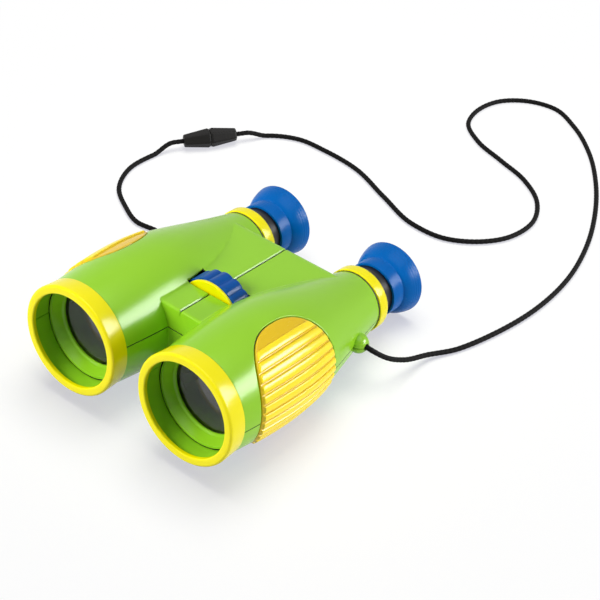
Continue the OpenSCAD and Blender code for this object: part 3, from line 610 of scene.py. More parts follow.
class BINOCULARS_OT_stage(bpy.types.Operator):
    """Camera at the photograph's angle, white floor, soft studio light"""

    bl_idname = "binoculars.stage"
    bl_label = "Stage"

    def execute(self, context):
        scene = context.scene
        scene.view_settings.view_transform = "Standard"
        self.camera(scene)
        self.floor(scene, scene.binocular_colours.floor)
        self.lights(scene)
        self.world(scene)
        return {"FINISHED"}

    def camera(self, scene):
        """Aimed at a point over the floor from an azimuth, elevation and distance, with a small roll."""
        az, el, roll = (math.radians(a) for a in CAMERA_TURN)
        fore = np.array([-math.sin(az) * math.cos(el), math.cos(az) * math.cos(el), -math.sin(el)])
        level = np.cross(fore, [0, 0, 1])
        level /= np.linalg.norm(level)
        rise = np.cross(level, fore)
        right = level * math.cos(roll) + rise * math.sin(roll)
        up = rise * math.cos(roll) - level * math.sin(roll)
        data = bpy.data.cameras.new("photo_camera")
        data.lens, data.sensor_width = CAMERA_LENS
        data.clip_start, data.clip_end = 0.05, 20.0
        camera = bpy.data.objects.new("photo_camera", data)
        scene.collection.objects.link(camera)
        camera.matrix_world = placed(right, up, -fore, np.array(CAMERA_AIM) - fore * CAMERA_AWAY)
        scene.camera = camera

    def floor(self, scene, shade):
        """Matt floor that is white to the camera and in reflections, and keeps the shadow.

        Those rays see part of its white as a glow, all of it far away, and the rest as light on it.
        """
        mesh = bpy.data.meshes.new("floor")
        signs = ((-1, -1), (1, -1), (1, 1), (-1, 1))
        mesh.from_pydata([(FLOOR_HALF * x, FLOOR_HALF * y, 0) for x, y in signs], [], [(0, 1, 2, 3)])
        floor = bpy.data.objects.new("floor", mesh)
        scene.collection.objects.link(floor)
        made, tree, bsdf = surface("floor white")
        bsdf.inputs["Roughness"].default_value = 1.0
        bsdf.inputs["Specular IOR Level"].default_value = 0.0
        seen = seen_rays(tree)
        place = tree.nodes.new("ShaderNodeTexCoord").outputs["Object"]
        away = node(tree, "ShaderNodeVectorMath", [(place, 0)], operation="LENGTH").outputs["Value"]
        far = node(
            tree, "ShaderNodeMapRange", [(away, "Value")], interpolation_type="SMOOTHSTEP",
            From_Min=FLOOR_FADE[0], From_Max=FLOOR_FADE[1],
        ).outputs["Result"]
        base = mix_node(tree, seen, (*shade, 1), mix_node(tree, far, FLOOR_LIT, BLACK))
        tree.links.new(base, bsdf.inputs["Base Color"])
        tree.links.new(mix_node(tree, far, FLOOR_GLOW, WHITE), bsdf.inputs["Emission Color"])
        tree.links.new(seen, bsdf.inputs["Emission Strength"])
        mesh.materials.append(made)

    def lights(self, scene):
        """Boxes overhead, in front on the left, behind on the right, one to be mirrored, one for the floor.

        The boxes at the sides leave out the floor, so its shadow lies close round the part, as photographed.
        """
        receivers = {"all": None}
        for key, state in (("pieces", "EXCLUDE"), ("floor", "INCLUDE")):
            receivers[key] = bpy.data.collections.new("light on " + key)
            receivers[key].objects.link(scene.objects["floor"])
            receivers[key].collection_objects[0].light_linking.link_state = state
        for name, way, away, size, power, diffuse, glossy, lit in LAMPS:
            data = bpy.data.lights.new(name, "AREA")
            data.shape, data.energy = "RECTANGLE", power
            data.size, data.size_y = size
            lamp = bpy.data.objects.new(name, data)
            scene.collection.objects.link(lamp)
            lamp.visible_diffuse, lamp.visible_glossy = diffuse, glossy
            lamp.light_linking.receiver_collection = receivers[lit]
            back = np.array(way) / np.linalg.norm(way)
            across = np.cross([0, 1, 0] if abs(back[2]) > 0.9 else [0, 0, 1], back)
            across /= np.linalg.norm(across)
            lamp.matrix_world = placed(across, np.cross(back, across), back, back * away)

    def world(self, scene):
        """Even light from all round, seen as white by the camera and in reflections."""
        world = bpy.data.worlds.new("studio")
        world.use_nodes = True
        scene.world = world
        tree = world.node_tree
        back = tree.nodes["Background"]
        back.inputs["Color"].default_value = WHITE
        strength = math_node(tree, "MULTIPLY_ADD", seen_rays(tree), 1 - AMBIENT, AMBIENT)
        tree.links.new(strength, back.inputs["Strength"])


# Neck cord

# Places of the cord on the floor, in millimetres of the row frame
LONG_LAY = (
    (73, 63), (79, 82), (83, 107), (82, 133), (76, 157), (65, 182), (52, 203), (35, 223), (17, 237), (1, 244),
    (-13, 241), (-25, 230), (-28, 218), (-25, 205), (-12, 195), (6, 189), (24, 183), (39, 172), (46, 158),
    (44, 141), (34, 128), (22, 121), (4, 120), (-19, 128), (-43, 137), (-64, 139), (-80, 138), (-94, 130),
)
SHORT_LAY = ((-82, 38), (-94, 37), (-106, 42), (-119, 51), (-126, 66), (-125, 81))
# Places between lug and floor: out from the lug's tip, along, and the share of the tip's height
LONG_LEAD = ((2.6, 0.4, 0.97), (6.0, 4.8, 0.74), (8.8, 14.6, 0.41), (11.3, 28.6, 0.15))
SHORT_LEAD = ((2.6, 0.4, 0.97), (7.2, 6.4, 0.64), (15.3, 15.6, 0.26))
KNOT_FACE_X = 50.448
LUG_TIP = 54.708
CORD_Z = 1.35
CORD_END_GAP = 0.05
CORD_SPACING = 0.33
CLASP_NECK = 2.45
# Profile of a clasp's half: distance from its middle, and share of its radius
CLASP_FACE = ((0.12, 0.0),)
CLASP_TONGUE = ((-0.1, 0.0), (-0.1, 0.8), (0.12, 0.8))
CLASP_RIM = ((0.12, 0.88), (0.2, 0.93), (0.42, 0.95), (0.9, 0.955), (1.05, 0.995))
CLASP_END = ((12.9, 0.63), (13.12, 0.56), (13.16, 0.48), (13.16, 0.27), (12.6, 0.26), (12.6, 0.0))
CLASP_CORNER_R = 4.9
CLASP_LIMIT_R = 4.86
CLASP_ROUND_R = 4.5
HEXAGON_POWER = 26


def clasp_way():
    """Way along the clasp, from the cord's long part to its short one."""
    turn = math.radians(CLASP_TURN)
    return np.array([math.cos(turn), math.sin(turn), 0])


def cord_route(side):
    """Points in metres of a cord from knot to clasp: out of the lug, down to the floor and along it."""
    xs = KNOT_FACE_X + CORD_END_GAP + (LUG_TIP - KNOT_FACE_X) * np.array([0, 0.5, 1])
    bored = lie(np.stack([side * xs, np.full(3, LUG[0]), np.full(3, LUG[1])], -1)) / MM
    tip = lie([side * LUG_TIP, LUG[0], LUG[1]]) / MM
    lead = np.array(LONG_LEAD if side > 0 else SHORT_LEAD)
    lead = np.stack([tip[0] + side * lead[:, 0], tip[1] + lead[:, 1], tip[2] * lead[:, 2]], -1)
    lay = np.array(LONG_LAY if side > 0 else SHORT_LAY, float)
    lay = np.column_stack([lay, np.full(len(lay), CORD_Z)])
    reach = CLASP_HALF + CORD_END_GAP + CLASP_NECK * np.array([2, 1, 0])
    clasped = np.array(CLASP_AT) + clasp_way() * -side * reach[:, None]
    return np.vstack([bored, lead, lay, clasped]) * MM


def smooth_path(route, spacing):
    """Evenly spaced points on cubic curves through a route's points, and their distances along it.

    The slope at a point is the mean of those of the chords beside it, the shorter one weighing more.
    It is level where the route stops rising or falling, so that the cord stays on the floor.
    """
    step = np.diff(route, axis=0)
    chord = np.linalg.norm(step, axis=1)[:, None]
    slope = step / chord
    inner = (slope[:-1] * chord[1:] + slope[1:] * chord[:-1]) / (chord[:-1] + chord[1:])
    inner[slope[:-1, 2] * slope[1:, 2] <= 0, 2] = 0
    way = np.vstack([slope[:1], inner, slope[-1:]])
    leave, arrive = (way[:-1] * chord)[:, None], (way[1:] * chord)[:, None]
    t = np.linspace(0, 1, 40, endpoint=False)[None, :, None]
    ease = t**2 * (3 - 2 * t)
    dense = route[:-1, None] + step[:, None] * ease + leave * t * (1 - t) ** 2 - arrive * t**2 * (1 - t)
    dense = np.vstack([dense.reshape(-1, 3), route[-1:]])
    run = np.concatenate([[0], np.cumsum(np.linalg.norm(np.diff(dense, axis=0), axis=1))])
    even = np.linspace(0, run[-1], max(int(run[-1] / spacing), 2))
    return np.stack([np.interp(even, run, dense[:, k]) for k in range(3)], -1), even


def braided_tube(path, run, radius, pitch, relief, strands=8, sides=28):
    """Points, faces and UV of a tube along a path, its radius rippled by the braid.

    The ripple is the mean of a cosine along the cord, a wave per stitch, and one round it, one per strand.
    """
    way = np.gradient(path, axis=0)
    way /= np.linalg.norm(way, axis=1)[:, None]
    across = np.cross(way, [0, 0, 1.0])
    across /= np.linalg.norm(across, axis=1)[:, None]
    up = np.cross(across, way)
    v = np.arange(sides) / sides
    wave = 0.5 * (np.cos(TAU * run / pitch)[:, None] + np.cos(TAU * strands * v)[None, :])
    r = (radius + relief * (wave - 1))[..., None]
    angle = (TAU * v)[None, :, None]
    tube = path[:, None] + r * (np.cos(angle) * across[:, None] + np.sin(angle) * up[:, None])
    rings = len(path)
    faces = grid(rings, sides, False, True).tolist()
    u0, u1 = run[:-1, None] / pitch + 0 * v, run[1:, None] / pitch + 0 * v
    v0, v1 = 0 * u0 + v, 0 * u0 + v + 1 / sides
    corners = ((u0, v0), (u0, v1), (u1, v1), (u1, v0))
    uv = np.stack([np.stack(corner, -1) for corner in corners], 2)
    ends = [list(range(sides)), list(range((rings - 1) * sides, rings * sides))]
    flat = np.zeros((2 * sides, 2))
    return tube.reshape(-1, 3), faces + ends, np.vstack([uv.reshape(-1, 2), flat])


def clasp_half_shape(way):
    """Points and faces of one half of the clasp: a rounded hexagon carried along it, tapering to the cord.

    Its radius at an angle is the hexagon's, softened by a power mean, times a profile along its length
    with rounded ends and a shallow step where the halves meet. The plug's tongue crosses the gap there.
    """
    start = CLASP_TONGUE if way > 0 else CLASP_FACE
    fine = np.linspace(0, 1, 30)
    body = np.column_stack([1.5 + 10.9 * fine, 0.985 - 0.32 * fine])
    profile = np.vstack([start, CLASP_RIM, body, CLASP_END])
    a = np.linspace(0, TAU, 96, endpoint=False)
    sides = np.abs(np.cos(a[:, None] - np.radians([0, 60, 120])[None, :] - math.radians(30)))
    softened = (np.mean(sides**HEXAGON_POWER, 1) * 3) ** (1 / HEXAGON_POWER)
    hexagon = np.minimum(CLASP_CORNER_R * math.cos(math.pi / 6) / softened, CLASP_LIMIT_R)
    hexagon_share = np.clip((profile[:, 1] - 0.27) / 0.2, 0, 1)
    r = CLASP_ROUND_R + (hexagon[None, :] - CLASP_ROUND_R) * hexagon_share[:, None]
    r = profile[:, 1][:, None] * r
    ahead = clasp_way() * way
    side = np.array([-ahead[1], ahead[0], 0])
    points = (
        np.array(CLASP_AT) + profile[:, 0][:, None, None] * ahead
        + (r * np.cos(a))[..., None] * side + (r * np.sin(a))[..., None] * np.array([0, 0, 1.0])
    )
    return points.reshape(-1, 3) * MM, grid(len(profile), len(a), False, True)


class BINOCULARS_OT_neck_cord(bpy.types.Operator):
    """The braided neck cord on both sides of its clasp, and the clasp's two halves"""

    bl_idname = "binoculars.neck_cord"
    bl_label = "Neck cord"

    def execute(self, context):
        sizes, colours = context.scene.binocular_sizes, context.scene.binocular_colours
        yarn = cord_yarn("cord yarn", colours.cord)
        hard = plastic(
            "clasp black", colours.clasp, roughness=0.4, mottle=0.15, scratches=0.3, bump=0.12, gloss=0.12
        )
        for name, cord_name, side in (("clasp_socket", "long_cord", 1), ("clasp_plug", "short_cord", -1)):
            points, faces = clasp_half_shape(-side)
            half = put(
                name + "_dressed", points, faces.tolist(), hard, "housing", [name], "clasp_black", sharp=40
            )
            path, run = smooth_path(cord_route(side), CORD_SPACING * MM)
            tube, faces, uv = braided_tube(path, run, CORD_R * MM, sizes.braid_pitch, sizes.braid_relief)
            cord = put(
                cord_name + "_braid", tube, faces, yarn, "housing", [cord_name], "cord_black", sharp=60, uv=uv
            )
        knotted = plastic("knot yarn", colours.cord, roughness=0.7, mottle=0.4, bump=0.5)
        for side in (1, -1):
            refinish(named(side) + "_cord_knot", knotted)
        return {"FINISHED"}


# Housing

FRONT_LIP = ((8.95, 0.2), (8.98, 0.08), (9.05, 0.02), (9.2, 0.0))  # distance, and drop under the outline
REAR_LIP = ((0.35, 0.0), (0.2, 0.03), (0.12, 0.1), (0.1, 0.22))  # distance before the end, and drop
RECESS_Y = (14.0, 70.0)  # stretch of the skin that gives way to the rings round a grip
RECESS_TOP = math.radians(83)
# Columns of the skin: over the bridge, round its fillet, to the slot's flank, to the recess, to the parting
N_TOP, N_ARC, N_SLOT, N_OVER, N_SIDE = 12, 7, 5, 26, 40
SLOT_COLUMN = N_TOP + N_ARC + N_SLOT
SIDE_COLUMN = SLOT_COLUMN + N_OVER
EDGE_STEPS = 6
SLIT_START = 4  # the slit starts behind the bridge's rounded front edge
SUNK = (0.0, 0.4, 0.75, 0.97, 1.0)  # rings of the recess's floor, as shares of the way to its wall
# Edge of that recess: way out from its outline, and height over the barrel
RIM = ((0.0, -0.32), (0.06, -0.17), (0.16, -0.07), (0.3, -0.015), (0.45, 0.0))
FLOOR_REACH = 0.8  # how far along Y its floor's innermost ring reaches, as a share of the outline
GAP_R = 26.0  # radii at which the gap round a grip and the ways beside it are measured
BESIDE_R = 25.5
HOLE_MARGIN = 0.7
HOLE_SHANK_R = 1.7


def superellipse(direction, half_y, half_angle, square):
    """Point of a superellipse in a direction: the direction's own vector times the norm's inverse."""
    c, s = np.cos(direction), np.sin(direction)
    reach = (np.abs(c) ** square + np.abs(s) ** square) ** (-1 / square)
    return GRIP_Y + half_y * reach * c, half_angle * reach * s


def shell_skin(sign, sizes):
    """Half of one moulding's outer skin, at x over 0, with z turned over where sign is -1.

    Gives its points, its faces and 1 for each face painted with the deep grey that stands in for shade: the
    groove's slit on the top bridge and the floor of the grip's recess. Rows run across the part at stations
    along Y. Where the bridge joins the barrels, a row is a line: flat over the bridge, with the groove at
    its middle, then the arc that fills the corner and touches both, then the barrel's circle down to the
    parting line. In front and behind, the row is the circle alone, from the inner parting line over to the
    outer one. The last free row and the first bridged one share their station, so the strip between them is
    the bridge's end wall.
    """
    fillet, edge, gap = sizes.fillet / MM, sizes.bridge_edge / MM, sizes.parting_gap / MM
    groove_half, slit = sizes.groove_half / MM, sizes.groove_slit / MM
    groove_depth = sizes.groove_depth / MM if sign > 0 else 0.0
    inner_z, outer_z = sign * SHAFT_Z + gap, sign * SIDE_PART_Z + gap

    # Stations, each with its radius and, on the bridge, its height
    turn = np.linspace(0, math.pi / 2, EDGE_STEPS)
    front_lip, rear_lip = np.array(FRONT_LIP), np.array(REAR_LIP)
    front = np.concatenate([
        front_lip[:, 0],
        np.linspace(front_lip[-1, 0], RECESS_Y[0], 6)[1:],
        np.linspace(RECESS_Y[0], BRIDGE[0], 19)[1:],
    ])
    over = np.concatenate([
        BRIDGE[0] + edge * (1 - np.cos(turn)),
        np.linspace(BRIDGE[0] + edge, SLOT_Y[0], 18)[1:],
        np.linspace(*SLOT_Y, 13)[1:],
        np.linspace(SLOT_Y[1], RECESS_Y[1], 10)[1:],
        np.linspace(RECESS_Y[1], BRIDGE[1] - edge, 30)[1:],
        (BRIDGE[1] - edge + edge * np.sin(turn))[1:],
    ])
    lip_y = NECK_Y - rear_lip[:, 0]
    rear = np.concatenate([np.linspace(BRIDGE[1], lip_y[0], 9)[:-1], lip_y])
    r_front, r_over, r_rear = barrel_r(front), barrel_r(over), barrel_r(rear)
    r_front[:len(front_lip)] -= front_lip[:, 1]
    r_rear[-len(rear_lip):] -= rear_lip[:, 1]
    h = np.full(len(over), BRIDGE_H)
    h[:EDGE_STEPS] -= edge * (1 - np.sin(turn))
    h[-EDGE_STEPS:] -= edge * (1 - np.cos(turn))
    h = np.minimum(h, r_over - 0.2)

    # Where the fillet meets the bridge and the barrel, and where the slot's flank is
    reach, height = r_over + fillet, h + fillet
    lean = np.arcsin(height / reach)
    corner_x = HALF_SPACING - np.sqrt(reach**2 - height**2)
    touch = math.pi - lean
    touch_x = HALF_SPACING + r_over * np.cos(touch)
    slot = np.arccos((np.maximum(SLOT_HALF, touch_x + 0.12) - HALF_SPACING) / r_over)

    def arcs(r, first, flank):
        """Angles of a row's circle from the first, over the slot's flank and the recess, to the parting."""
        top, part = np.full(len(r), RECESS_TOP), np.arcsin(outer_z / r)
        stretches = ((first, flank, N_SLOT), (flank, top, N_OVER), (top, part, N_SIDE))
        return np.hstack([spread(*stretch) for stretch in stretches])

    def free(y, r, k):
        """Rows of the bare circle whose columns meet those of the bridged row k."""
        inner = math.pi - np.arcsin(inner_z / r)
        first, flank = np.full(len(r), touch[k]), np.full(len(r), slot[k])
        a = np.hstack([inner[:, None], spread(inner, first, N_TOP + N_ARC), arcs(r, first, flank)])
        x, z = HALF_SPACING + r[:, None] * np.cos(a), r[:, None] * np.sin(a)
        return np.stack([x, np.tile(y[:, None], (1, a.shape[1])), z], -1)

    def surface_z(px, py):
        """Height of the bridged skin over a place: flat, then the fillet's arc, then the barrel's circle."""
        start, end, r, level = (np.interp(py, over, v) for v in (corner_x, touch_x, r_over, h))
        arc = level + fillet - np.sqrt(np.maximum(fillet**2 - np.maximum(px - start, 0) ** 2, 0))
        return np.where(px < end, arc, np.sqrt(np.maximum(r**2 - (px - HALF_SPACING) ** 2, 0)))

    x_middle = np.tile([0.0, slit, groove_half], (len(over), 1))
    x_top = np.hstack([x_middle, spread(np.full(len(over), groove_half), corner_x, N_TOP - 2)])
    z_top = h[:, None] - np.concatenate([[4 * groove_depth, groove_depth], np.zeros(N_TOP - 1)])[None, :]
    bend = spread(np.full(len(over), -math.pi / 2), -lean, N_ARC)
    x_arc = corner_x[:, None] + fillet * np.cos(bend)
    z_arc = height[:, None] + fillet * np.sin(bend)
    angle = arcs(r_over, touch, slot)
    x = np.hstack([x_top, x_arc, HALF_SPACING + r_over[:, None] * np.cos(angle)])
    z = np.hstack([z_top, z_arc, r_over[:, None] * np.sin(angle)])
    bridged = np.stack([x, np.tile(over[:, None], (1, x.shape[1])), z], -1)
    front_rows, rear_rows = free(front, r_front, 0), free(rear, r_rear, -1)
    rows = np.concatenate([front_rows, bridged, rear_rows])

    # The grid, without the quads in the grip's recess, the wheel's slot and the screws' recesses
    n_rows, n_columns = rows.shape[:2]
    stations = rows[:, 0, 1]
    row_mid = 0.5 * (stations[1:] + stations[:-1])
    keep = np.ones((n_rows - 1, n_columns - 1), bool)
    # Faces marked 1 get the deep grey finish, painted shade in the slit and the recess
    painted_shade = np.zeros(keep.shape, int)
    in_recess = (row_mid > RECESS_Y[0]) & (row_mid < RECESS_Y[1])
    keep[np.ix_(in_recess, np.arange(SIDE_COLUMN, n_columns - 1))] = False
    if sign > 0:
        in_slot = (row_mid > SLOT_Y[0]) & (row_mid < SLOT_Y[1])
        keep[np.ix_(in_slot, np.arange(SLOT_COLUMN))] = False
        # Painted shade in the groove's slit
        painted_shade[len(front) + SLIT_START:len(front) + len(over) - 1, 0] = 1
        flank = rows[(stations > SLOT_Y[0] - 0.01) & (stations < SLOT_Y[1] + 0.01), SLOT_COLUMN]
        foot = np.column_stack([flank[:, 0] - 0.04, flank[:, 1], np.full(len(flank), SLOT_LIP_Z)])
        extras = [(np.vstack([flank, foot]), grid(2, len(flank)))]
    else:
        extras = [screw_hole(place, rows, keep, surface_z) for place in SCREWS]
    main = (rows.reshape(-1, 3), grid(n_rows, n_columns).reshape(*keep.shape, 4)[keep])

    # The part of each end wall that the strip leaves open, down to the parting line
    for free_row, bridged_row in ((front_rows[-1], bridged[0]), (rear_rows[0], bridged[-1])):
        foot = np.array([0.0, free_row[0, 1], inner_z])
        extras.append((np.array([free_row[0], bridged_row[0], foot]), [[0, 1, 2]]))

    recess, n_sunk = grip_recess(rows, outer_z)
    points, faces = joined(main, *extras[-2:], *extras[:-2], recess)
    face_painted_shade = np.zeros(len(faces), int)
    face_painted_shade[:len(main[1])] = painted_shade[keep]
    first = len(faces) - len(recess[1])
    # Painted shade on the floor of the grip's recess, seen through the gap round the grip
    face_painted_shade[first:first + n_sunk] = 1
    return points * np.array([1, 1, sign]), faces, face_painted_shade


def grip_recess(rows, outer_z):
    """Points and faces of the skin round a grip and of its recess, and how many faces the recess's floor has.

    Rings follow the hole that the skin's grid leaves. The outer ones run from the grid in to the grip's
    outline, a superellipse, the next over its softened edge, and the rest along the floor of the recess.
    """
    stations = rows[:, 0, 1]
    k0, k1 = (int(np.argmin(np.abs(stations - y))) for y in RECESS_Y)
    angle = np.arctan2(rows[..., 2], rows[..., 0] - HALF_SPACING)
    down = np.arange(rows.shape[1] - 1, SIDE_COLUMN - 1, -1)
    path_k = np.concatenate([np.full(len(down), k0), np.arange(k0 + 1, k1), np.full(len(down), k1)])
    path_j = np.concatenate([down, np.full(k1 - k0 - 1, SIDE_COLUMN), down[::-1]])
    y_b, a_b = stations[path_k], angle[path_k, path_j]
    half_y, half_a = GRIP_HALF[0] + GRIP_GAP, math.radians(GRIP_HALF[1]) + GRIP_GAP / GAP_R
    direction = np.arctan2(a_b / half_a, (y_b - GRIP_Y) / half_y)
    y_o, a_o = superellipse(direction, half_y, half_a, GRIP_SQUARE)
    span = np.hypot(y_b - y_o, (a_b - a_o) * BESIDE_R)
    ring_y, ring_a, stand = [], [], []
    for share in SUNK:
        ring_y.append(GRIP_Y + (FLOOR_REACH + (1 - FLOOR_REACH) * share) * (y_o - GRIP_Y))
        ring_a.append(share * a_o)
        stand.append(-GRIP_DEPTH)
    edge = RIM[-1][0] / span
    ways = [(way / span, height) for way, height in RIM]
    ways += [(edge + share * (1 - edge), 0.0) for share in np.linspace(0, 1, 8)[1:]]
    for t, height in ways:
        ring_y.append(y_o + t * (y_b - y_o))
        ring_a.append(a_o + t * (a_b - a_o))
        stand.append(height)
    ring_y, ring_a = np.array(ring_y), np.array(ring_a)
    ring_r = barrel_r(ring_y) + np.array(stand)[:, None]
    ring_a[:, [0, -1]] = np.arcsin(outer_z / ring_r[:, [0, -1]])
    ring_a[0] = np.arcsin(outer_z / ring_r[0])
    rings = np.stack([HALF_SPACING + ring_r * np.cos(ring_a), ring_y, ring_r * np.sin(ring_a)], -1)
    n_sunk = (len(SUNK) - 1) * (rings.shape[1] - 1)
    return (rings.reshape(-1, 3), grid(*rings.shape[:2])), n_sunk


def screw_hole(place, rows, keep, surface_z):
    """Points and faces of a screw's recess in the skin, which takes the grid's quads round it out of keep.

    Rings run from the outline of the block of quads, which goes once round the screw, in to the recess's
    circle at the same angles, over its softened edge, down its wall and in to the shank's hole.
    """
    x, y = place
    r, seat = SCREW_HOLE
    stations = rows[:, 0, 1]
    top = np.flatnonzero(stations < y - r - HOLE_MARGIN)[-1]
    bottom = np.flatnonzero(stations > y + r + HOLE_MARGIN)[0]
    across = rows[(top + bottom) // 2, :, 0]
    left = np.flatnonzero(across < x - r - HOLE_MARGIN)[-1]
    right = np.flatnonzero(across > x + r + HOLE_MARGIN)[0]
    keep[top:bottom, left:right] = False
    wide, tall = np.arange(left, right), np.arange(top, bottom)
    i = np.concatenate([0 * wide + top, tall, 0 * wide + bottom, np.arange(bottom, top, -1)])
    j = np.concatenate([wide, 0 * tall + right, np.arange(right, left, -1), 0 * tall + left])
    block = rows[i, j]
    angle = np.arctan2(block[:, 1] - y, block[:, 0] - x)
    ray = np.stack([np.cos(angle), np.sin(angle)], -1)
    rim = np.array([x, y]) + (r + 0.2) * ray
    rings = [block]
    for share in (0.3, 0.6, 0.85, 1.0):
        flat = block[:, :2] + share * (rim - block[:, :2])
        rings.append(np.column_stack([flat, surface_z(flat[:, 0], flat[:, 1])]))
    edge = np.array([x, y]) + r * ray
    level = surface_z(edge[:, 0], edge[:, 1])
    floor = np.full(len(ray), seat)
    for reach, z in ((r + 0.06, level - 0.05), (r, level - 0.18), (r, floor), (HOLE_SHANK_R, floor)):
        rings.append(np.column_stack([np.array([x, y]) + reach * ray, z]))
    return np.vstack(rings), grid(len(rings), len(ray), False, True)


def lug_half(side, sign, gap):
    """Half of a cord lug: the outline of a rounded boss with its cord hole, carried half round X."""
    x0, tip, flare = LUG_BALL_X - 4.6, LUG_BALL_X + LUG_R, 1.3
    a = np.linspace(0, math.radians(66), 14)
    ball = np.column_stack([LUG_R * np.cos(a), LUG_BALL_X + LUG_R * np.sin(a)])
    s = np.sin(np.linspace(0, math.pi / 2, 8))
    skirt = np.column_stack([LUG_R + flare * (1 - s), LUG_BALL_X - 2 * flare + flare * s**2])
    lip = [(1.62, tip - 0.34), (1.46, tip - 0.46), (CORD_HOLE_R, tip - 0.7), (CORD_HOLE_R, x0)]
    outline = np.vstack([[(LUG_R + flare, x0)], skirt, ball, lip])
    around = np.arcsin(np.clip(gap / outline[:, 0], -1, 1))
    points, faces = sector(outline, around, math.pi - around, 48)
    points = np.stack([points[:, 1] * side, LUG[0] + points[:, 0], LUG[1] + points[:, 2] * sign], -1)
    return points, faces


class BINOCULARS_OT_housing(bpy.types.Operator):
    """The two green mouldings of the housing, with the wheel's slot, the grips' recesses and the cord lugs"""

    bl_idname = "binoculars.housing"
    bl_label = "Housing"

    def execute(self, context):
        sizes, colours = context.scene.binocular_sizes, context.scene.binocular_colours
        # Painted shade: the deep grey finish goes on the skin's inner face and gap rims through the wall's
        # next finish, on the faces that shell_skin marks, and on the rear-ring flanges
        inside = plastic("inside dark", colours.inside, roughness=0.6, mottle=0.2, bump=0.15)
        finish = [green(context), inside, inside]
        gap = sizes.parting_gap / MM
        spigot = rounded([
            (SPIGOT[0], 2.0, 0.2), (SPIGOT[1], 2.0, 0.2), (SPIGOT[1], 10.4, 0), (SPIGOT[0], 10.4, 0),
        ], 4)
        # Flange in the gap before each rear ring, finished deep grey as painted shade of that gap
        tail = rounded([
            (12.2, 106.0, 0), (13.2, 106.0, 0), (13.2, NECK_Y - 0.08, 0), (14.3, NECK_Y - 0.08, 0.05),
            (14.3, NECK_Y + 0.42, 0.05), (13.2, NECK_Y + 0.42, 0), (13.2, 112.0, 0.2), (12.2, 112.0, 0.2),
        ], 4)
        for name, sign in (("top_shell", 1), ("bottom_shell", -1)):
            points, faces, painted_shade = shell_skin(sign, sizes)
            both = joined((points, faces), (mirrored(points, -1), faces))
            shell = put(
                name + "_moulding", lie(both[0]), both[1], finish, "housing", [name], "housing_green",
                wall=sizes.wall, up=sign, sharp=28, finish_of=np.tile(painted_shade, 2),
            )
            bright, painted_shade_flanges = [], []
            for side in (1, -1):
                bright.append(lug_half(side, sign, gap))
                for found, outline in ((bright, spigot), (painted_shade_flanges, tail)):
                    start = np.arcsin((sign * SIDE_PART_Z + gap) / outline[:, 0])
                    end = math.pi - np.arcsin((sign * SHAFT_Z + gap) / outline[:, 0])
                    p, f = sector(outline, start, end)
                    p[:, 2] *= sign
                    found.append((mirrored(p + [HALF_SPACING, 0, 0], side), f))
            # Green for the spigots and lugs, deep grey painted shade for the flanges
            for finish_at, found in enumerate((bright, painted_shade_flanges)):
                p, f = joined(*found)
                add_mesh(shell, lie(p), f, finish_at)
        return {"FINISHED"}


# Radius and height of a screw from its head's rounded edge to its tip
SCREW_SIDE = (
    (2.65, 0.05), (2.76, 0.16), (2.8, 0.32), (2.8, 1.8), (1.4, 1.8), (1.4, 24.0), (1.0, 25.2), (0.0, 26.0),
)
SCREW_FACE_R = 2.5
SCREW_HEAD_R = 2.8
SCREW_CROWN = 0.25


class BINOCULARS_OT_shell_screws(bpy.types.Operator):
    """The four screws under the bridge, with their cross recesses"""

    bl_idname = "binoculars.shell_screws"
    bl_label = "Shell screws"

    def execute(self, context):
        parts = [self.screw(side * x, y) for side in (-1, 1) for x, y in SCREWS]
        points, faces = joined(*parts)
        steel = plated_steel("screw steel", context.scene.binocular_colours.steel)
        put(
            "shell_screws_cross", lie(points), faces, steel, "housing", ["shell_screws"], "screw_steel",
            sharp=40,
        )
        return {"FINISHED"}

    def screw(self, x, y):
        """A screw along Z, head down: its face dips where either arm of the cross passes.

        Rings run from the middle of the face to its rounded edge, up the head's side, in to the shank and to
        its tip. A point's dip is a clipped ramp of its distance from the arms, times one of its radius.
        """
        a = np.linspace(0, TAU, 96, endpoint=False)
        face, side = np.linspace(0, SCREW_FACE_R, 26), np.array(SCREW_SIDE)
        r = np.concatenate([face, side[:, 0]])[:, None]
        z = np.concatenate([-SCREW_CROWN * (1 - (face / SCREW_HEAD_R) ** 2), side[:, 1]])[:, None]
        px, py = r * np.cos(a), r * np.sin(a)
        arm = np.minimum(np.abs(px), np.abs(py))
        inside = np.clip((0.42 - arm) / 0.12, 0, 1) * np.clip((1.75 - r) / 0.15, 0, 1)
        inside[len(face):] = 0
        dip = inside * (1.1 - 0.35 * r)
        points = np.stack([x + px, y + py, SCREW_TOP_Z + z + dip], -1)
        return points.reshape(-1, 3), grid(len(r), len(a), False, True)


# Objective end


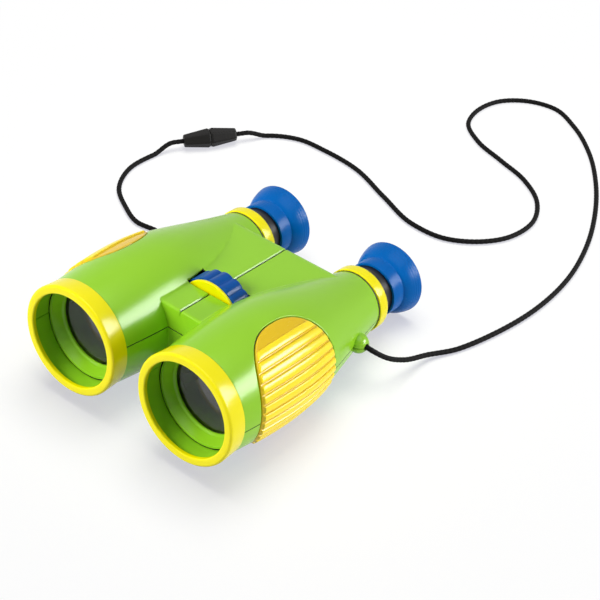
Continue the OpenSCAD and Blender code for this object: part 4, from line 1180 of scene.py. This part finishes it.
class BINOCULARS_OT_objectives(bpy.types.Operator):
    """Yellow rings, green lens collars and clear lenses of both objectives"""

    bl_idname = "binoculars.objectives"
    bl_label = "Objectives"

    def execute(self, context):
        edge = context.scene.binocular_sizes.ring_round / MM
        ring = rounded([
            (21.1, 1.9, 0.15), (21.1, 0.0, 0.7), (25.0, 0.0, edge),
            (24.45, RING_L, 0.25), (23.78, RING_L, 0.05), (23.78, 1.9, 0.05),
        ], 9)
        collar = rounded([
            (21.75, 10.1, 0.15), (21.75, 15.0, 0), (22.35, 15.0, 0), (22.35, 15.8, 0),
            (17.8, 15.8, 0.1), (17.8, 15.0, 0.15), (18.6, 14.2, 0.3), (20.6, 10.1, 0.25),
        ], 6)
        lens = lens_outline(clear_r=17.24, edge_r=20.0, front=15.86, rear=17.94, bulge=1.4, steps=24)
        for side in (1, -1):
            for label, outline, finish, slot in (
                ("objective_ring", ring, ring_yellow(context), "ring_yellow"),
                ("lens_collar", collar, green(context), "housing_green"),
                ("objective_lens", lens, lens_glass("lens clear"), "lens_clear"),
            ):
                name = f"{named(side)}_{label}"
                points, faces = turned(outline, side * HALF_SPACING)
                put(name + "_turned", lie(points), faces.tolist(), finish, "housing", [name], slot)
        return {"FINISHED"}


# Grips

RIB_PITCH = 9.2  # degrees
RIBS_REACH = 6.5  # pitches from the middle rib to where the ribs end
RIB_FOOT = 0.44  # half of a rib's foot and the width of its flank, as shares of the pitch
RIB_FLANK = 0.1
RIB_CROWN = 0.35
GRIP_STAND = 0.15
GRIP_UNDER = 0.17
GRIP_MEAN_HALF = 27.0
BORDER_WIDTH = 0.55
BORDER_DROP = 0.45


class BINOCULARS_OT_grips(bpy.types.Operator):
    """Ribbed golden panels on the outer sides of the barrels"""

    bl_idname = "binoculars.grips"
    bl_label = "Grips"

    def execute(self, context):
        sizes, colours = context.scene.binocular_sizes, context.scene.binocular_colours
        finish = plastic(
            "grip golden", colours.grip, roughness=0.24, mottle=0.08, scratches=0.2, bump=0.06, gloss=0.4
        )
        # Painted shade: deeper gold in the valleys between the ribs, by the rib share on the UV map
        self.paint_groove_shade(finish, colours.groove)
        points, faces, crest = self.panel(sizes.rib_height / MM)
        # V of the UV map carries the rib share that places that painted shade
        uv = np.column_stack([np.zeros(len(crest)), crest])[np.array(faces).ravel()]
        for side in (1, -1):
            name = f"{named(side)}_grip"
            put(
                name + "_ribbed", lie(mirrored(points, side)), faces, finish, "housing", [name],
                "grip_yellow", sharp=50, uv=uv,
            )
        return {"FINISHED"}

    def paint_groove_shade(self, finish, groove):
        """Paints shade: the deeper gold goes where V of the panel's UV map, the height of its ribs, is low, in
        the valleys between ribs and on the flat ground beside them.
        """
        tree = finish.node_tree
        crest = next(n for n in tree.nodes if n.type == "GROUP").inputs["Colour"]
        uv = node(tree, "ShaderNodeSeparateXYZ", [(tree.nodes.new("ShaderNodeUVMap").outputs["UV"], 0)])
        tree.links.new(mix_node(tree, uv.outputs["Y"], (*groove, 1), crest.default_value), crest)

    def panel(self, rib_h):
        """Points, faces and share of rib of a panel on the left barrel, over angle and distance.

        Along Y a row reaches to the superellipse. A point's height over the barrel is the panel's face, plus
        its rib, a flat-topped wave of the angle that fades at the border, less the rounded border's drop. The
        same rows run back along the inner face, so that the grid closes on itself.
        """
        half_y, half_a = GRIP_HALF
        tip = np.array([0, 0.0004, 0.0016, 0.004, 0.008, 0.014, 0.022, 0.032, 0.045, 0.06])
        t = np.concatenate([-(1 - tip), np.linspace(-0.925, 0.925, 300), (1 - tip)[::-1]])
        u = np.sin(np.linspace(-1, 1, 70) * math.pi / 2)
        reach = (1 - np.abs(t) ** GRIP_SQUARE) ** (1 / GRIP_SQUARE)
        theta, y_share = half_a * t[:, None], reach[:, None] * u[None, :]
        y = GRIP_Y + half_y * y_share
        q = (np.abs(y_share) ** GRIP_SQUARE + np.abs(t[:, None]) ** GRIP_SQUARE) ** (1 / GRIP_SQUARE)
        inset = np.clip(1 - q, 0, 1) * GRIP_MEAN_HALF
        phase = np.abs((theta / RIB_PITCH + 0.5) % 1 - 0.5)
        rib = np.clip((RIB_FOOT - phase) / RIB_FLANK, 0, 1)
        rib = rib * rib * (3 - 2 * rib) * (1 - RIB_CROWN * (phase / RIB_FOOT) ** 2)
        rib *= np.abs(theta) < RIB_PITCH * RIBS_REACH
        crest = rib * np.clip((inset - 0.5) / 0.5, 0, 1)
        border = np.clip(inset / BORDER_WIDTH, 0, 1)
        drop = BORDER_DROP * (1 - np.sqrt(1 - (1 - border) ** 2))
        outer = barrel_r(y) + (GRIP_STAND + rib_h * crest - drop)
        inner = barrel_r(y) - GRIP_DEPTH + GRIP_UNDER
        r = np.hstack([outer, inner[:, ::-1]])
        y, angle = np.hstack([y, y[:, ::-1]]), np.radians(theta)
        points = np.stack([HALF_SPACING + r * np.cos(angle), y, r * np.sin(angle)], -1)
        faces = grid(len(t), y.shape[1], False, True).tolist()
        return points.reshape(-1, 3), faces, np.tile(crest, (1, 2)).ravel()


# Eyepieces

CUP_NECK_R = 12.7
CUP_RIM_Y = 135.3
CUP_RIM_ROUND = 0.6
CUP_BORE_R = 9.0
CUP_STEPS = (130.2, 1.15, 0.09)  # where the fine steps on the flare begin, their pitch and depth


class BINOCULARS_OT_eyepieces(bpy.types.Operator):
    """Rear rings, sliding tubes, eye lenses and flared eyecups"""

    bl_idname = "binoculars.eyepieces"
    bl_label = "Eyepieces"

    def execute(self, context):
        blue = plastic("cup blue", context.scene.binocular_colours.cup, roughness=0.26, gloss=0.09)
        rear_ring = rounded([
            (13.3, NECK_Y + 0.45, 0.1), (13.3, 112.2, 0.05), (11.46, 112.2, 0.05), (11.46, REAR_FACE_Y, 0.2),
            (14.9, REAR_FACE_Y, 1.7), (14.9, NECK_Y + 0.45, 0.5),
        ], 9)
        tube = rounded([
            (10.0, 75.0, 0.1), (TUBE_R, 75.0, 0.2), (TUBE_R, CUP_FLOOR_Y, 0.1),
            (10.61, CUP_FLOOR_Y, 0), (10.61, 122.0, 0), (10.0, 122.0, 0),
        ], 5)
        lens = lens_outline(clear_r=9.0, edge_r=10.56, front=122.06, rear=125.14, bulge=-0.8, steps=18)
        for side in (1, -1):
            for label, outline, finish, slot, body in (
                ("rear_ring", rear_ring, ring_yellow(context), "ring_yellow", "housing"),
                ("eyepiece_tube", tube, black_plastic(context), "tube_black", "eyepieces"),
                ("eyepiece_lens", lens, lens_glass("lens clear"), "lens_clear", "eyepieces"),
                ("eyecup", self.cup_outline(), blue, "cup_blue", "eyepieces"),
            ):
                name = f"{named(side)}_{label}"
                points, faces = turned(outline, side * HALF_SPACING)
                put(name + "_turned", lie(points), faces.tolist(), finish, body, [name], slot)
        refinish("focus_yoke", black_plastic(context))
        return {"FINISHED"}

    def cup_outline(self):
        """Outline of an eyecup: collar, flare that swells and turns along the axis, steps, rim and bowl."""
        bowl_y, lip_y = CUP_Y + 6.5, CUP_RIM_Y - CUP_RIM_ROUND
        collar = [
            (11.45, CUP_Y + 0.2), (11.65, CUP_Y), (12.4, CUP_Y), (12.6, CUP_Y + 0.1),
            (CUP_NECK_R, CUP_Y + 0.35), (CUP_NECK_R, bowl_y - 0.6), (12.72, bowl_y - 0.2),
        ]
        flare = ((CUP_NECK_R, bowl_y), (14.3, bowl_y + 0.9), (15.9, bowl_y + 3.9), (16.5, lip_y))
        outside = bezier(flare, 40)
        begin, pitch, depth = CUP_STEPS
        y = outside[:, 1]
        steps = depth * np.clip((y - begin) / 1.0, 0, 1) * (0.5 - 0.5 * np.cos(y * TAU / pitch))
        outside = outside - np.column_stack([steps, 0 * steps])
        a = np.radians(np.linspace(0, 90, 6))[1:]
        across, along = CUP_RIM_ROUND * np.cos(a), CUP_RIM_ROUND * np.sin(a)
        rim = np.column_stack([15.9 + across, lip_y + along])
        rim_in = np.column_stack([15.6 - along, lip_y + across])
        bowl = ((15.0, lip_y), (14.8, bowl_y + 5.4), (12.3, bowl_y + 1.75), (CUP_BORE_R, bowl_y + 0.75))
        floor = [(CUP_BORE_R, CUP_FLOOR_Y), (11.45, CUP_FLOOR_Y)]
        return np.vstack([collar, outside[1:], rim, rim_in, bezier(bowl, 30)[1:], floor])


# Focus drive

# Radius, distance and share of the lobes' ripple, once round the wheel's section
WHEEL_SECTION = (
    (16.0, 50.8, 1.0), (16.2, 50.86, 1.0), (16.34, 51.0, 1.0), (16.4, 51.25, 1.0), (16.4, 53.0, 1.0),
    (16.4, 55.4, 1.0), (16.4, 57.8, 1.0), (16.4, 59.55, 1.0), (16.34, 59.8, 1.0), (16.2, 59.94, 1.0),
    (16.0, 60.0, 1.0), (14.2, 60.0, 0.6), (12.0, 60.0, 0.0), (11.8, 59.8, 0.0), (11.8, 57.0, 0.0),
    (4.2, 57.0, 0.0), (4.2, 60.0, 0.0), (2.53, 60.0, 0.0), (2.53, 50.8, 0.0), (4.2, 50.8, 0.0),
    (4.2, 53.8, 0.0), (11.8, 53.8, 0.0), (11.8, 51.0, 0.0), (12.0, 50.8, 0.0), (14.2, 50.8, 0.6),
)
LOBE_STEPS = 18
# Distance and radius of the shaft before, and after, its threaded stretch
SHAFT_FRONT = ((39.0, 0.0), (39.0, 2.2), (39.3, 2.5))
SHAFT_COLLAR = ((60.0, 2.5), (60.0, 4.2), (62.75, 4.2), (62.75, 2.5), (66.2, 2.5))
SHAFT_REAR = ((90.8, 2.6), (90.8, 0.0))
SHAFT_R = 2.5
THREAD_Y = (66.25, 90.6)
THREAD_R = 3.0
THREAD_DEPTH = 0.55
THREAD_PITCH = 4.0
THREAD_STARTS = 2.0
THREAD_ROWS = 240


class BINOCULARS_OT_focus(bpy.types.Operator):
    """Scalloped focus wheel, its yellow disc, and the shaft with the coarse screw"""

    bl_idname = "binoculars.focus"
    bl_label = "Focus drive"

    def execute(self, context):
        blue = plastic("wheel blue", context.scene.binocular_colours.wheel, roughness=0.22, gloss=0.13)
        disc = rounded([
            (2.53, 43.3, 0.1), (4.2, 43.3, 0.2), (4.2, 49.6, 0.4),
            (15.6, 49.6, 1.0), (15.6, 50.78, 0.05), (2.53, 50.78, 0.0),
        ], 8)
        disc = turned(disc, 0, SHAFT_Z)
        for name, way, shape, finish, slot, sharp in (
            ("focus_wheel", "_lobed", self.wheel(), blue, "wheel_blue", 34),
            ("wheel_disc", "_turned", disc, ring_yellow(context), "ring_yellow", SHARP_ANGLE),
            ("focus_screw", "_threaded", self.screw(), black_plastic(context), "tube_black", 40),
        ):
            points, faces = shape
            put(name + way, lie(points), faces.tolist(), finish, "wheel", [name], slot, sharp=sharp)
        return {"FINISHED"}

    def wheel(self):
        """The wheel over angle and its section's own length.

        The rim's radius is that of the lobes, circles on a circle, which meet in sharp valleys. Each point of
        the section takes a share of that ripple: all of it on the rim, less on the faces, none inside.
        """
        section = np.array(WHEEL_SECTION)
        a = np.arange(LOBES * LOBE_STEPS) / (LOBES * LOBE_STEPS) * TAU
        d = ((a * LOBES / TAU + 0.5) % 1 - 0.5) * TAU / LOBES
        circle = WHEEL_R - LOBE_R
        lobe = circle * np.cos(d) + np.sqrt(LOBE_R**2 - (circle * np.sin(d)) ** 2)
        r = section[:, 0][None, :] + section[:, 2][None, :] * (lobe - WHEEL_R)[:, None]
        y = np.tile(section[:, 1][None, :], (len(a), 1))
        points = np.stack([r * np.cos(a)[:, None], y, SHAFT_Z + r * np.sin(a)[:, None]], -1)
        return points.reshape(-1, 3), grid(len(a), len(section), True, True)

    def screw(self):
        """The shaft over distance and angle: along its thread the radius is a clipped triangle wave."""
        plain = np.column_stack([np.linspace(39.6, 59.9, 8), np.full(8, SHAFT_R)])
        thread = np.column_stack([np.linspace(*THREAD_Y, THREAD_ROWS), np.full(THREAD_ROWS, THREAD_R)])
        shaft = np.vstack([SHAFT_FRONT, plain, SHAFT_COLLAR, thread, SHAFT_REAR])
        y, base = shaft[:, :1], shaft[:, 1:]
        cut = np.where((y >= THREAD_Y[0]) & (y <= THREAD_Y[1]), THREAD_DEPTH, 0.0)
        a = np.linspace(0, TAU, 48, endpoint=False)
        phase = (y / THREAD_PITCH - a[None, :] / TAU * THREAD_STARTS) % 1
        wave = np.clip(2.4 * np.abs(phase - 0.5) - 0.1, 0, 1)
        r = base - cut * (1 - wave)
        points = np.stack([r * np.cos(a), np.tile(y, (1, len(a))), SHAFT_Z + r * np.sin(a)], -1)
        return points.reshape(-1, 3), grid(len(y), len(a), False, True)


# Panel and registration

OPERATORS = (
    BINOCULARS_OT_stage, BINOCULARS_OT_neck_cord, BINOCULARS_OT_housing, BINOCULARS_OT_shell_screws,
    BINOCULARS_OT_objectives, BINOCULARS_OT_grips, BINOCULARS_OT_eyepieces, BINOCULARS_OT_focus,
)


class VIEW3D_PT_binoculars(bpy.types.Panel):
    """Lists the builders of the binoculars' pieces, with their sizes and colours"""

    bl_label = "Toy binoculars"
    bl_idname = "VIEW3D_PT_binoculars"
    bl_space_type = "VIEW_3D"
    bl_region_type = "UI"
    bl_category = "Binoculars"

    def draw(self, context):
        column = self.layout.column()
        for operator in OPERATORS:
            column.operator(operator.bl_idname)
        for group in (context.scene.binocular_sizes, context.scene.binocular_colours):
            for key in group.__annotations__:
                column.prop(group, key)


CLASSES = (BinocularSizes, BinocularColours, *OPERATORS, VIEW3D_PT_binoculars)


def register():
    """Makes the classes and the scene's two groups of values known."""
    for cls in CLASSES:
        bpy.utils.register_class(cls)
    bpy.types.Scene.binocular_sizes = bpy.props.PointerProperty(type=BinocularSizes)
    bpy.types.Scene.binocular_colours = bpy.props.PointerProperty(type=BinocularColours)


def unregister():
    """Undoes register."""
    del bpy.types.Scene.binocular_colours
    del bpy.types.Scene.binocular_sizes
    for cls in reversed(CLASSES):
        bpy.utils.unregister_class(cls)


def main():
    """Builds the stage and every piece."""
    register()
    bpy.ops.binoculars.stage()
    bpy.ops.binoculars.neck_cord()
    bpy.ops.binoculars.housing()
    bpy.ops.binoculars.shell_screws()
    bpy.ops.binoculars.objectives()
    bpy.ops.binoculars.grips()
    bpy.ops.binoculars.eyepieces()
    bpy.ops.binoculars.focus()
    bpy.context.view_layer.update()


if __name__ == "__main__":
    main()
